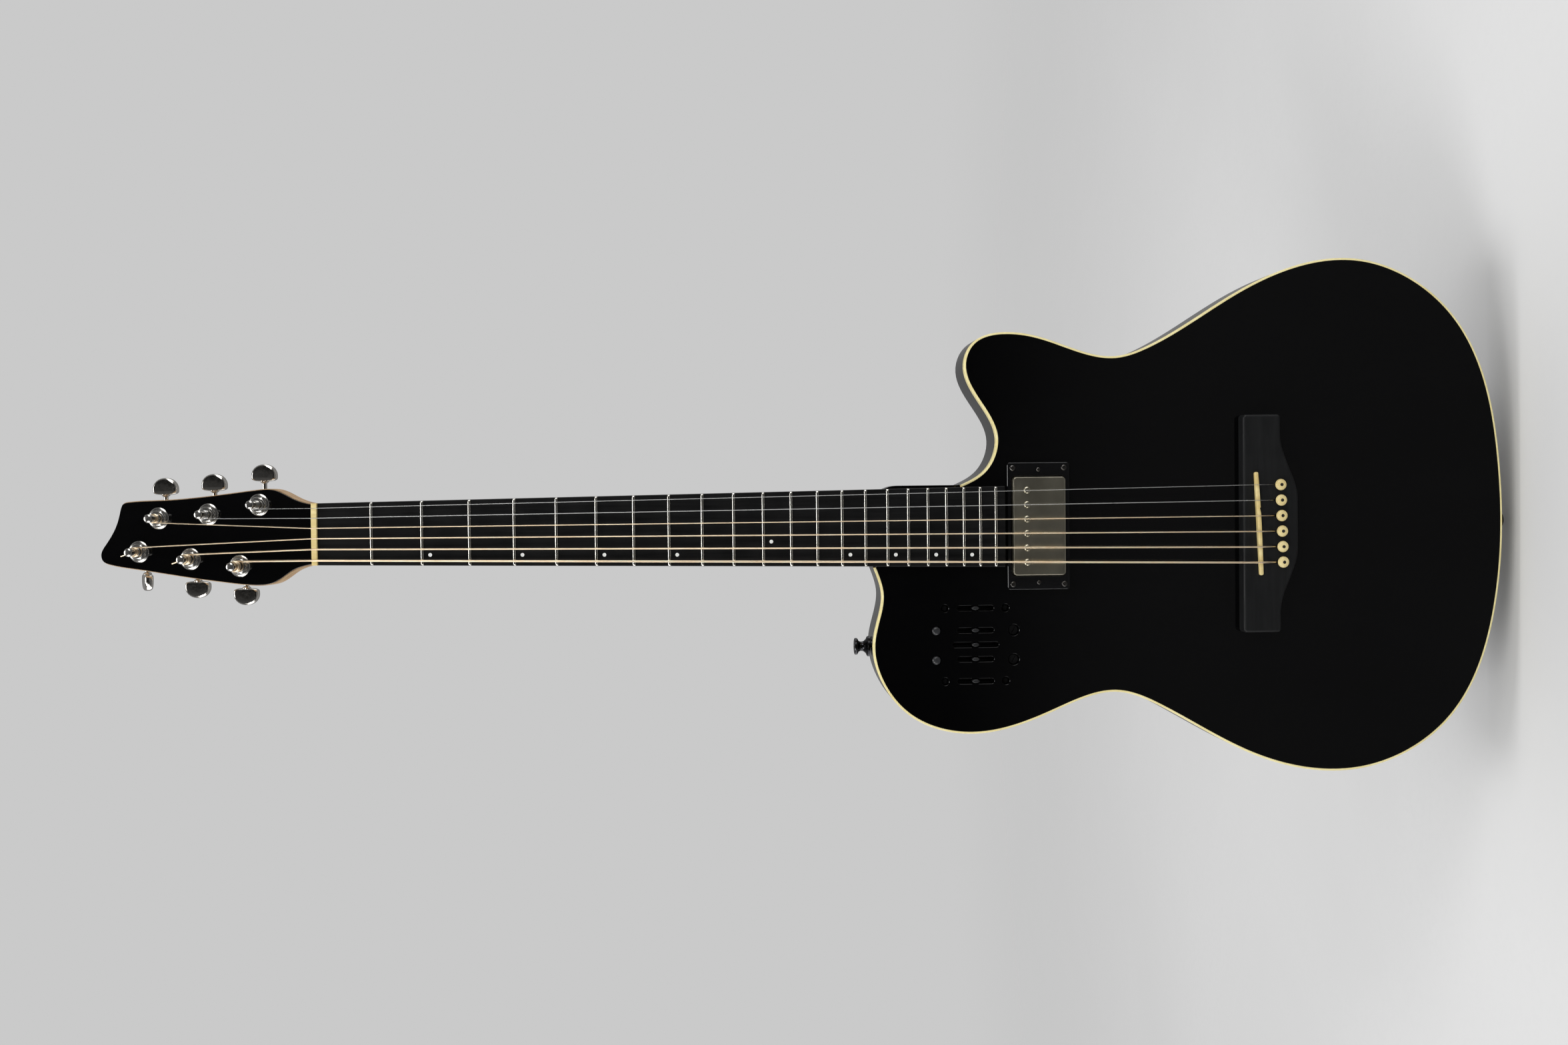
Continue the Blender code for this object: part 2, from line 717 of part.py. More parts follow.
def rounded_bar(y, z, width, length, radius, x0, x1):
    """A plate or recess on the treble rim, its outline in Y and Z."""
    outline = rounded_rectangle(y - width / 2, y + width / 2, z - length / 2, z + length / 2, radius)
    return loft([[(x, a, b) for a, b in outline] for x in (x0, x1)])


def battery_limits(margin):
    x = BATTERY_WIDTH / 2.0 + margin
    z = BATTERY_LENGTH / 2.0 + margin
    return BATTERY_ACROSS - x, BATTERY_ACROSS + x, BATTERY_UP - z, BATTERY_UP + z


def battery_floor():
    """Depth of the battery bay's floor."""
    return BODY_DEPTH - LID_THICK - BATTERY_TALL - BATTERY_ROOM


def block(limits, y0, y1):
    x0, x1, z0, z1 = limits
    return box(x0, x1, y0, y1, z0, z1)


def jack_ups():
    return [JACK_UP - JACK_PITCH / 2.0, JACK_UP + JACK_PITCH / 2.0]


def cut_back(core):
    """The preamp cavity with the cover's ledge, and the battery pocket."""
    x0, x1, z0, z1 = cavity_box()
    deep = BODY_DEPTH + MM
    cut(core, "preamp_cavity", prism(rounded_rectangle(x0, x1, z0, z1, COVER_CORNER / 2), MM, deep), BODY)
    e = COVER_LEDGE + GAP
    ledge = rounded_rectangle(x0 - e, x1 + e, z0 - e, z1 + e, COVER_CORNER)
    cut(core, "cover_recess", prism(ledge, BODY_DEPTH - COVER_THICK - GAP, deep), BODY)
    holes = rods_at(cover_screw_places(), COVER_SCREW_SHANK + GAP, BODY_DEPTH - COVER_SCREW_LENGTH - GAP, deep)
    cut(core, "cover_screw_holes", holes, BODY)
    wall = BATTERY_ROOM + BATTERY_BOX_WALL + GAP
    pocket = block(battery_limits(wall), battery_floor() - BATTERY_BOX_WALL - GAP, deep)
    cut(core, "battery_pocket", pocket, BODY)
    rim = block(battery_limits(wall + BATTERY_FLANGE), BODY_DEPTH - BATTERY_RIM_THICK - GAP, deep + MM)
    cut(core, "battery_rim", rim, BODY)


def cut_rim(core):
    """The jacks' recess and bores, and the strap buttons' screw holes."""
    face = rim_x() - PLATE_RECESS
    recess = rounded_bar(JACK_DEPTH, JACK_UP, PLATE_WIDTH + 2 * GAP, PLATE_LENGTH + 2 * GAP,
                         PLATE_CORNER, face - PLATE_THICK - GAP, rim_x() + RIM_WALL)
    cut(core, "jack_recess", recess, BODY)
    bores = [rod(JACK_CASE_RADIUS + GAP, face - JACK_LENGTH - GAP, face, 12, (0.0, JACK_DEPTH, z), "X")
             for z in jack_ups()]
    cut(core, "jack_bores", joined(bores), BODY)
    radius = STRAP_SCREW_RADIUS + GAP
    depth = STRAP_SCREW_LENGTH + GAP
    shoulder = edge_up(STRAP_ACROSS)
    upper = rod(radius, shoulder - depth, shoulder + MM, 10, (STRAP_ACROSS, JACK_DEPTH, 0.0), "Z")
    lower = rod(radius, tail_up() - MM, tail_up() + depth, 10, (0.0, JACK_DEPTH, 0.0), "Z")
    cut(core, "strap_screw_holes", joined([upper, lower]), BODY)


def make_core():
    core = add("body_core", body_skin(), gloss_black(), BODY)
    cut(core, "chambers", joined([chamber(1), chamber(-1)]), BODY)
    cut(core, "core_neck_pocket", neck_pocket(), NECK)
    main, ears = pickup_well(PICKUP_WELL_DEPTH)
    cut(core, "core_pickup_well", main, BODY)
    cut(core, "core_pickup_ears", ears, BODY)
    x = SADDLE_SPAN / 2.0 + PIN_HEAD_RADIUS
    well = box(-x, x, MM, PIN_WELL_DEPTH, pin_up(-x) - PIN_HEAD_RADIUS, pin_up(x) + 2 * PIN_HEAD_RADIUS)
    cut(core, "pin_well", well, BODY)
    cut_back(core)
    cut_rim(core)
    shanks = rods_at(bolt_places(), BOLT_RADIUS + GAP, TOP_THICK, BODY_DEPTH - MM)
    cut(core, "core_bolt_holes", shanks, BODY)
    recess = prism(neck_plate_outline(GAP), BODY_DEPTH - NECK_PLATE_THICK - GAP, BODY_DEPTH + MM)
    cut(core, "neck_plate_recess", recess, BODY)


def control_holes():
    """Everything bored through the top over the preamp, apart from the screws' narrow ends."""
    low = -MM
    high = TOP_THICK + MM
    shapes = []
    for x, travel in zip(SLOT_ACROSS, SLOT_TRAVEL):
        half = travel + LEVER_LENGTH / 2.0 + SLOT_END_ROOM
        shapes.append(prism(capsule(x, SLOT_UP - half, SLOT_UP + half, SLOT_WIDTH / 2.0), low, high))
    for x in BUTTON_ACROSS:
        shapes.append(rod(BUTTON_RADIUS + GAP, low, high, 12, (x, 0.0, BUTTON_UP)))
        shapes.append(rod(TRIM_RADIUS + GAP, low, high, 12, (x, 0.0, TRIM_UP)))
    for x, z in preamp_screw_places():
        shelf = PREAMP_SCREW_RECESS + PREAMP_SCREW_HEAD + GAP
        thin = PREAMP_SCREW_SHANK + GAP
        profile = [(PREAMP_SCREW_HOLE, low), (PREAMP_SCREW_HOLE, shelf), (thin, shelf), (thin, high)]
        shapes.append(turned(profile, 12, (x, 0.0, z)))
    return joined(shapes)


def string_notch(index, y0, y1, reach):
    """The slot in front of a bridge pin that a string goes down through."""
    x = saddle_string_x()[index]
    half = STRING_DIAMETERS[index] / 2.0 + GAP
    z = pin_up(x)
    return box(x - half, x + half, y0, y1, z, z + reach)


def pin_holes(y0, y1, notch_reach):
    holes = [rod(PIN_COLLAR_RADIUS + GAP, y0, y1, 12, (x, 0.0, pin_up(x))) for x in saddle_string_x()]
    notches = [string_notch(i, y0 - MM, y1 + MM, notch_reach(i)) for i in range(len(holes))]
    return joined(holes), joined(notches)


def string_drop_reach(index):
    """How far in front of its pin's axis a string's notch runs in the top."""
    return PIN_COLLAR_RADIUS + STRING_DIAMETERS[index] + 2.0 * GAP


def ramp_reach(index):
    return RAMP_REACH


def make_top():
    top = add("top_plate", prism(body_outline(), 0.0, TOP_THICK), gloss_black(), BODY)
    cut(top, "top_neck_pocket", neck_pocket(), NECK)
    main, ears = pickup_well(TOP_THICK + 3 * MM)
    cut(top, "top_pickup_well", main, BODY)
    cut(top, "top_pickup_ears", ears, BODY)
    cut(top, "control_holes", control_holes(), BODY)
    holes, notches = pin_holes(-MM, TOP_THICK + MM, string_drop_reach)
    cut(top, "top_pin_holes", holes, BODY)
    cut(top, "top_string_notches", notches, BODY)
    screws = rods_at(ring_screw_places(), RING_SCREW_SHANK + GAP, -MM, TOP_THICK + MM)
    cut(top, "top_ring_screw_holes", screws, BODY)


def make_binding():
    """A strip let into the body's front edge, from the neck round to the neck again."""
    inner = inset(body_outline(), -GAP)
    outer = inset(body_outline(), -BINDING_WIDTH)
    shoulder = inset(body_outline(), -(BINDING_WIDTH - BINDING_ROUNDING))
    count = len(body_edge())
    rings = []
    for i in range(count):
        section = [(inner[i], 0.0), (shoulder[i], 0.0), (outer[i], BINDING_ROUNDING),
                   (outer[i], TOP_THICK), (inner[i], TOP_THICK)]
        rings.append([(p[0], y, p[1]) for p, y in section])
    add("binding", loft(rings), cream(), BODY)


# Neck, board and head

def neck_ring(distance, depth):
    """The neck's half-round section below the board."""
    half = board_width(distance) / 2.0
    ring = []
    for i in range(NECK_SECTION_STEPS + 1):
        t = math.pi * i / NECK_SECTION_STEPS
        y = BOARD_THICK + GAP + depth * math.sin(t) ** NECK_SHOULDER
        ring.append((half * math.cos(t), y, -distance))
    return ring


def neck_shaft():
    end = NECK_JOINT - HEEL_LEAD / 2.0
    rings = []
    for i in range(NECK_STATIONS + 1):
        share = i / NECK_STATIONS
        distance = -NUT_THICK + (end + NUT_THICK) * share
        depth = NECK_DEPTH_AT_NUT + (NECK_DEPTH_AT_HEEL - NECK_DEPTH_AT_NUT) * share
        rings.append(neck_ring(distance, depth))
    return loft(rings)


def tenon():
    start = NECK_JOINT - HEEL_LEAD
    end = NECK_JOINT + TENON_LENGTH
    a = board_width(start) / 2.0
    b = board_width(end) / 2.0
    outline = [(-b, -end), (b, -end), (a, -start), (-a, -start)]
    front = BOARD_THICK + GAP
    return prism(outline, front, front + TENON_DEPTH)


def post_holes(y0, y1):
    """Holes for the tuners' bushings through the headstock."""
    places = list(zip(POST_X, POST_ALONG))
    return rods_at(places, BUSHING_SLEEVE + 2 * GAP, y0, y1, 12)


def make_neck():
    neck = add("neck", neck_shaft(), wood(), NECK)
    fuse(neck, "head_slab", prism(head_outline(), VENEER_THICK + GAP, HEAD_THICK), HEAD)
    fuse(neck, "tenon", tenon(), NECK)
    half = ROD_WIDTH / 2.0 + GAP
    front = BOARD_THICK
    channel = box(-half, half, front, front + ROD_DEPTH + 3 * GAP, -ROD_START - ROD_LENGTH - GAP,
                  -ROD_START + GAP)
    cut(neck, "rod_channel", channel, NECK)
    cut(neck, "neck_post_holes", post_holes(0.0, HEAD_THICK + MM), HEAD)
    back = TENON_DEPTH + HEEL_LEAD
    bolts = rods_at(bolt_places(), BOLT_RADIUS + GAP, TENON_DEPTH - BOLT_GRIP, back)
    cut(neck, "neck_bolt_holes", bolts, BODY)


def make_head_veneer():
    veneer = add("head_veneer", prism(head_outline(), 0.0, VENEER_THICK), gloss_black(), HEAD)
    cut(veneer, "veneer_post_holes", post_holes(-MM, VENEER_THICK + MM), HEAD)


def make_truss_rod():
    half = ROD_WIDTH / 2.0
    front = BOARD_THICK + 2 * GAP
    shape = box(-half, half, front, front + ROD_DEPTH, -ROD_START - ROD_LENGTH, -ROD_START)
    add("truss_rod", shape, steel(), NECK)


def camber(width, steps):
    """x and drop at even steps across a cambered width."""
    xs = [width * (i / steps - 0.5) for i in range(steps + 1)]
    return [(x, board_drop(x)) for x in xs]


def fret_comb(grow, top, bottom):
    """The frets' tangs on the strip that ties them together, seen from the side and extruded across."""
    strip = BOARD_THICK - TIE_THICK - grow
    outline = []
    for number in range(1, FRET_COUNT + 1):
        up = -fret_distance(number)
        half = TANG_HALF + grow
        outline += [(strip, up + half), (top, up + half), (top, up - half), (strip, up - half)]
    outline = [(bottom, outline[0][1])] + outline[1:-1] + [(bottom, outline[-1][1])]
    half = TIE_HALF + grow
    return loft([[(x, y, z) for y, z in outline] for x in (-half, half)])


def make_fingerboard():
    rings = []
    for distance in (0.0, BOARD_LENGTH):
        width = board_width(distance)
        ring = [(x, y, -distance) for x, y in camber(width, BOARD_ARC_STEPS)]
        ring += [(width / 2.0, BOARD_THICK, -distance), (-width / 2.0, BOARD_THICK, -distance)]
        rings.append(ring)
    board = add("fingerboard", loft(rings), satin_black(), NECK)
    cut(board, "tang_slots", fret_comb(GAP, -FRET_HEIGHT, BOARD_THICK + MM), NECK)


def fret(number):
    """One fret's crown, a low arch following the board's camber."""
    distance = fret_distance(number)
    width = board_width(distance) - 2.0 * FRET_END_INSET
    half = FRET_WIDTH / 2.0
    section = [(-half, -GAP), (-half / 2.0, -FRET_HEIGHT), (half / 2.0, -FRET_HEIGHT), (half, -GAP)]
    rings = []
    for x, drop in camber(width, FRET_ARC_STEPS):
        rings.append([(x, drop + y, -distance + z) for z, y in section])
    return loft(rings)


def make_frets():
    """All the frets as one solid: a strip in the board's underside ties their tangs."""
    shapes = [fret(number) for number in range(1, FRET_COUNT + 1)]
    frets = add("frets", joined(shapes), nickel(), NECK)
    fuse(frets, "fret_tie", fret_comb(0.0, -FRET_HEIGHT / 2.0, BOARD_THICK), NECK)


def make_nut():
    """The nut stands on the neck behind the board, with one slot for each string."""
    section = camber(NUT_WIDTH, BOARD_ARC_STEPS)
    crown = FRET_HEIGHT + NUT_ACTION + NUT_HEAD_ROOM
    ring = [(x, drop - crown) for x, drop in section]
    ring += [(NUT_WIDTH / 2.0, BOARD_THICK), (-NUT_WIDTH / 2.0, BOARD_THICK)]
    nut = add("nut", loft([[(x, y, z) for x, y in ring] for z in (GAP, NUT_THICK - 2.0 * GAP)]), cream(), NECK)
    slots = []
    for i, diameter in enumerate(STRING_DIAMETERS):
        x = nut_string_x()[i]
        floor = board_drop(x) - FRET_HEIGHT - NUT_ACTION + GAP
        half = diameter / 2.0 + GAP
        slots.append(box(x - half, x + half, floor - diameter - 3 * MM, floor, -MM, NUT_THICK + MM))
    cut(nut, "nut_slots", joined(slots), NECK)


# Tuners and strings

def post_frame(index):
    return HEAD @ Matrix.Translation((POST_X[index], 0.0, POST_ALONG[index]))


def key_depth():
    return HEAD_THICK + GAP + HOUSING_DEPTH / 2.0


def key_offset():
    """The key's worm lies beside the post's wheel, towards the tip."""
    return WHEEL_RADIUS + GAP + WORM_RADIUS


def key_frame(index):
    return post_frame(index) @ Matrix.Translation((0.0, key_depth(), key_offset()))


def side_of(index):
    return 1.0 if POST_X[index] > 0.0 else -1.0


def make_post(index):
    wheel = key_depth() - WHEEL_HALF
    tip = -POST_HEIGHT
    neck_start = -BUSHING_HEIGHT - POST_SHOULDER
    neck_end = tip + POST_CAP
    profile = [(WHEEL_RADIUS, key_depth() + WHEEL_HALF), (WHEEL_RADIUS, wheel), (POST_RADIUS, wheel),
               (POST_RADIUS, neck_start), (POST_WAIST_RADIUS, neck_start - POST_SHOULDER),
               (POST_WAIST_RADIUS, neck_end - POST_SHOULDER), (POST_RADIUS, neck_end),
               (POST_RADIUS, tip + POST_SHOULDER), (POST_RADIUS * 0.6, tip)]
    add("tuner_post_%d" % (index + 1), turned(profile, 10), nickel(), post_frame(index))


def make_housing(index):
    """A tuner's gear housing behind the headstock, with its sleeve, nut and washer in front."""
    front = HEAD_THICK + GAP
    half = HOUSING_WIDTH / 2.0
    outline = rounded_rectangle(-half, half, -half, HOUSING_LENGTH - half, HOUSING_CORNER, 1)
    frame = post_frame(index)
    name = "tuner_housing_%d" % (index + 1)
    housing = add(name, prism(outline, front, front + HOUSING_DEPTH), nickel(), frame)
    rim = BUSHING_RADIUS
    sleeve = [(BUSHING_NUT, -BUSHING_HEIGHT), (BUSHING_NUT, -WASHER_HEIGHT), (rim - 2 * GAP, -WASHER_HEIGHT),
              (rim, -GAP), (BUSHING_SLEEVE, -GAP), (BUSHING_SLEEVE, front + MM)]
    fuse(housing, name + "_sleeve", turned(sleeve, 12), frame)
    room = key_depth() - WHEEL_HALF - GAP
    bore = [(POST_RADIUS + GAP, -BUSHING_HEIGHT - MM), (POST_RADIUS + GAP, room),
            (WHEEL_RADIUS + GAP, room), (WHEEL_RADIUS + GAP, key_depth() + WHEEL_HALF + GAP)]
    cut(housing, name + "_post_bore", turned(bore, 10), frame)
    ends = sorted((-side_of(index) * (WORM_REACH + GAP), side_of(index) * HOUSING_WIDTH))
    shaft = rod(WORM_RADIUS + GAP, ends[0], ends[1], 10, (0.0, key_depth(), key_offset()), "X")
    cut(housing, name + "_key_bore", shaft, frame)


def key_button(side, angle):
    """A kidney-shaped button, flat to the headstock unless it is turned."""
    rings = []
    for share, y in ((0.8, -0.5), (1.0, -0.22), (1.0, 0.22), (0.8, 0.5)):
        ring = []
        for i in range(KEY_POINTS):
            t = math.tau * i / KEY_POINTS
            c = math.cos(t)
            s = math.sin(t)
            x = KEY_REACH + share * KEY_TALL / 2.0 * math.copysign(abs(c) ** KEY_SQUARENESS, c)
            z = share * KEY_WIDTH / 2.0 * math.copysign(abs(s) ** KEY_SQUARENESS, s)
            turn = Matrix.Rotation(angle, 3, "X") @ Vector((x, y * KEY_THICK, z))
            ring.append((turn.x * side, turn.y, turn.z))
        rings.append(ring)
    return loft(rings)


def make_key(index):
    side = side_of(index)
    angle = TURNED_KEY_ANGLE if index == TURNED_KEY else 0.0
    frame = key_frame(index)
    face = HOUSING_WIDTH / 2.0 + GAP
    inner = KEY_REACH - KEY_TALL / 2.0
    profile = [(WORM_RADIUS, -WORM_REACH), (WORM_RADIUS, face), (KEY_COLLAR_RADIUS, face),
               (KEY_COLLAR_RADIUS, face + KEY_COLLAR), (KEY_SHAFT_RADIUS, face + 1.5 * KEY_COLLAR),
               (KEY_SHAFT_RADIUS, inner - 0.5 * KEY_COLLAR), (KEY_COLLAR_RADIUS, inner),
               (KEY_COLLAR_RADIUS * 0.7, KEY_REACH - KEY_TALL / 4.0)]
    shaft = turned([(r, side * far) for r, far in profile], 10, (0.0, 0.0, 0.0), "X")
    key = add("tuner_key_%d" % (index + 1), key_button(side, angle), nickel(), frame)
    fuse(key, "key_shaft_%d" % (index + 1), shaft, frame)


def wrap_points(index, start):
    """The windings on a post, climbing evenly, with a straight cut end, in the headstock's frame."""
    radius = STRING_DIAMETERS[index] / 2.0
    turn_step = math.tau / WRAP_POINTS
    coil = (POST_WAIST_RADIUS + GAP + radius) / math.cos(turn_step / 2.0)
    pitch = 2.0 * radius + WRAP_SPACE
    side = side_of(index)
    px = POST_X[index]
    pz = POST_ALONG[index]
    away = -side * (start.x - px)
    down = start.z - pz
    reach = math.hypot(away, down)
    first = math.atan2(down, away) + math.acos(coil / reach)
    wraps = PLAIN_WRAPS if index < 2 else WOUND_WRAPS
    total = math.tau * (wraps + WRAP_END_TURN)
    steps = round(total / turn_step)
    points = []
    for i in range(steps + 1):
        t = first + total * i / steps
        y = -WRAP_START_HEIGHT - pitch * (t - first) / math.tau
        points.append(Vector((px - side * coil * math.cos(t), y, pz + coil * math.sin(t))))
    t = first + total
    leave = Vector((side * math.sin(t), 0.0, math.cos(t)))
    points.append(points[-1] + leave * TAIL_LENGTH)
    WRAP_GAPS.append(least_gap(points, 2.0 * radius))
    return points


def least_gap(points, diameter):
    """Least room between one winding and the next, on points set close along the route."""
    fine = []
    for a, b in zip(points, points[1:]):
        fine += [a.lerp(b, i / 4.0) for i in range(4)]
    skip = 2 * WRAP_POINTS
    pairs = [(p - q).length for i, p in enumerate(fine) for q in fine[i + skip:]]
    return min(pairs) - diameter


def string_route(index):
    """A string's centre line in world space, from its ball end to its cut end on the post."""
    radius = STRING_DIAMETERS[index] / 2.0
    x = saddle_string_x()[index]
    z = pin_up(x)
    inside = z + PIN_COLLAR_RADIUS + GAP + radius
    edge = z + PIN_HEAD_RADIUS + 2 * GAP + radius
    ball = [(x, BALL_DEPTH + BALL_LENGTH, inside), (x, BALL_DEPTH, inside),
            (x, BALL_DEPTH - radius, inside), (x, BALL_DEPTH - 4 * radius, inside)]
    bends = [(x, RAMP_DEPTH - BRIDGE_THICK, inside), (x, -BRIDGE_THICK, edge)]
    route = [BODY @ Vector(p) for p in ball + bends]
    route.append(saddle_string_point(index))
    route += [nut_string_point(index, along) for along in (-GAP, NUT_THICK + GAP)]
    start = HEAD.inverted() @ route[-1]
    route += [HEAD @ p for p in wrap_points(index, start)]
    sizes = [BALL_RADIUS / radius] * 2 + [1.0] * (len(route) - 2)
    return route, sizes


def make_string(index):
    route, sizes = string_route(index)
    name = STRING_NAMES[index]
    curve = bpy.data.curves.new(name, "CURVE")
    curve.dimensions = "3D"
    curve.bevel_depth = STRING_DIAMETERS[index] / 2.0
    curve.bevel_resolution = 1
    curve.use_fill_caps = True
    curve.render_resolution_u = 0
    line = curve.splines.new("POLY")
    line.points.add(len(route) - 1)
    for point, place, size in zip(line.points, route, sizes):
        point.co = (*place, 1.0)
        point.radius = size
    made = bpy.data.objects.new(name, curve)
    bpy.context.scene.collection.objects.link(made)
    made.data.materials.append(steel() if index < 2 else bronze())


# Bridge

def bridge_outline():
    """A straight front, square ends and a belly that swells behind the pins."""
    half = BRIDGE_LENGTH / 2.0
    back = BRIDGE_FRONT - BRIDGE_WIDTH
    outline = [(half, BRIDGE_FRONT), (-half, BRIDGE_FRONT), (-half, back)]
    for i in range(BELLY_POINTS):
        x = BELLY_START * (2.0 * i / (BELLY_POINTS - 1) - 1.0)
        share = min((BELLY_START - abs(x)) / (BELLY_START - BELLY_FLAT), 1.0)
        outline.append((x, back - BRIDGE_BELLY * share * share * (3.0 - 2.0 * share)))
    return outline + [(half, back)]


def saddle_frame():
    turn = Matrix.Rotation(-math.atan(BASS_COMPENSATION / SADDLE_SPAN), 4, "Y")
    return BODY @ Matrix.Translation((0.0, 0.0, -BASS_COMPENSATION / 2.0)) @ turn


def make_bridge():
    outline = bridge_outline()
    drawn = inset(outline, BRIDGE_EDGE)
    rings = [[(x, y, z) for x, z in o] for o, y in (
        (outline, -GAP), (outline, BRIDGE_EDGE - BRIDGE_THICK), (drawn, -BRIDGE_THICK))]
    bridge = add("bridge", loft(rings), satin_black(), BODY)
    floor = SADDLE_SLOT_DEPTH - BRIDGE_THICK
    x = SADDLE_LENGTH / 2.0 + GAP
    z = SADDLE_THICK / 2.0 + GAP
    cut(bridge, "saddle_slot", box(-x, x, -BRIDGE_THICK - MM, floor, -z, z), saddle_frame())
    holes, notches = pin_holes(-BRIDGE_THICK - MM, MM, ramp_reach)
    cut(bridge, "bridge_pin_holes", holes, BODY)
    cut(bridge, "bridge_string_notches", notches, BODY)


def make_saddle():
    half = SADDLE_LENGTH / 2.0
    xs = [SADDLE_LENGTH * (i / BOARD_ARC_STEPS - 0.5) for i in range(BOARD_ARC_STEPS + 1)]
    bottom = SADDLE_SLOT_DEPTH - BRIDGE_THICK - TRANSDUCER_THICK - 2.0 * GAP
    z = SADDLE_THICK / 2.0
    rings = []
    for up, drop in ((-z, SADDLE_BACK_DROP), (0.0, 0.0), (0.5 * z, 0.0), (z, SADDLE_BACK_DROP / 2.0)):
        ring = [(x, saddle_top(x) + drop, up) for x in xs]
        rings.append(ring + [(half, bottom, up), (-half, bottom, up)])
    add("saddle", loft(rings), cream(), saddle_frame())
    strip = box(-half, half, bottom + GAP, bottom + GAP + TRANSDUCER_THICK, -z, z)
    add("saddle_transducer", strip, steel(), saddle_frame())


def make_pins():
    """Six pins, tied inside the body by a thin strip into one solid."""
    top = -BRIDGE_THICK - GAP
    dome = top - PIN_HEAD_HEIGHT
    profile = [(PIN_TIP_RADIUS, PIN_LENGTH - BRIDGE_THICK), (PIN_COLLAR_RADIUS, top),
               (PIN_HEAD_RADIUS, top), (PIN_HEAD_RADIUS, top - PIN_HEAD_HEIGHT * 0.4),
               (PIN_HEAD_RADIUS * 0.8, top - PIN_HEAD_HEIGHT * 0.8), (PIN_HEAD_RADIUS * 0.4, dome)]
    shapes = [turned(profile, 10, (x, 0.0, pin_up(x))) for x in saddle_string_x()]
    pins = add("bridge_pins", joined(shapes), cream(), BODY)
    end = PIN_LENGTH - BRIDGE_THICK
    x = SADDLE_SPAN / 2.0
    z = pin_up(0.0)
    tie = box(-x, x, end - PIN_TIE_THICK, end - PIN_TIE_THICK / 2, z - PIN_TIE_HALF, z + PIN_TIE_HALF)
    fuse(pins, "pin_tie", tie, BODY)


# Pickup

def ring_outline():
    x = RING_LENGTH / 2.0
    z = RING_WIDTH / 2.0
    return rounded_rectangle(-x, x, PICKUP_UP - z, PICKUP_UP + z, RING_CORNER, 2)


def cover_outline(grow):
    x = PICKUP_LENGTH / 2.0 + grow
    z = PICKUP_WIDTH / 2.0 + grow
    return rounded_rectangle(-x, x, PICKUP_UP - z, PICKUP_UP + z, PICKUP_CORNER + grow, 3)


def make_pickup_ring():
    ring = add("pickup_ring", prism(ring_outline(), -RING_HEIGHT, -GAP), gloss_black(), BODY)
    cut(ring, "ring_window", prism(cover_outline(RING_MARGIN), -RING_HEIGHT - MM, MM), BODY)
    seat = -RING_HEIGHT
    one = screw(RING_SCREW_RADIUS, seat - RING_SCREW_HEAD, seat + GAP, RING_SCREW_SHANK, TOP_THICK - GAP)
    fuse(ring, "ring_screws", joined([moved(one, x, 0.0, z) for x, z in ring_screw_places()]), BODY)
    heights = rods_at(height_screw_places(), HEIGHT_SCREW_SHANK + GAP, -RING_HEIGHT - MM, MM)
    cut(ring, "ring_height_holes", heights, BODY)


def pickup_base_depth():
    return PICKUP_TALL - PICKUP_HEIGHT + GAP


def make_pickup_cover():
    """A nickel shell, open below, with a hole for each pole screw."""
    top = -PICKUP_HEIGHT
    bottom = top + PICKUP_TALL
    rings = [[(x, y, z) for x, z in o] for o, y in (
        (cover_outline(0.0), bottom), (cover_outline(0.0), top + PICKUP_EDGE),
        (cover_outline(-PICKUP_EDGE), top))]
    cover = add("pickup_cover", loft(rings), nickel(), BODY)
    cut(cover, "cover_inside", prism(cover_outline(-PICKUP_SHELL), top + PICKUP_SHELL, bottom + MM), BODY)
    cut(cover, "cover_pole_holes", rods_at(pole_places(), POLE_SHANK + GAP, top - MM, 0.0), BODY)


def make_pickup_coils():
    """The coils under the cover, on a base plate whose ears hold the two height screws."""
    top = PICKUP_SHELL + GAP - PICKUP_HEIGHT
    base = pickup_base_depth()
    end = base + BASE_THICK
    z = COIL_WIDTH / 2.0
    coil = rounded_rectangle(-COIL_LENGTH / 2, COIL_LENGTH / 2, PICKUP_UP - z, PICKUP_UP + z, z / 3, 2)
    ear = RING_LENGTH / 2.0 - RING_SCREW_RADIUS - GAP - MM
    half = EAR_HALF_WIDTH - GAP
    coils = add("pickup_coils", prism(coil, top, base + GAP), satin_black(), BODY)
    fuse(coils, "base_plate", box(-ear, ear, base, end, PICKUP_UP - half, PICKUP_UP + half), BODY)
    cut(coils, "coil_pole_holes", rods_at(pole_places(), POLE_SHANK + GAP, top - MM, end + MM), BODY)
    seat = -RING_HEIGHT - GAP
    one = screw(HEIGHT_SCREW_RADIUS, seat - RING_SCREW_HEAD, seat, HEIGHT_SCREW_SHANK, end + BASE_THICK)
    screws = [moved(one, x, 0.0, z) for x, z in height_screw_places()]
    fuse(coils, "height_screws", joined(screws), BODY)


def screw(head_radius, head_top, head_base, shank_radius, shank_end, sides=8):
    """A low round head on a straight shank, along Y."""
    crown = head_top + (head_base - head_top) * 0.4
    return turned([(shank_radius, shank_end), (shank_radius, head_base), (head_radius, head_base),
                   (head_radius, crown), (head_radius * 0.7, head_top)], sides)


def moved(shape, x, y, z):
    verts, faces = shape
    return [(a + x, b + y, c + z) for a, b, c in verts], faces


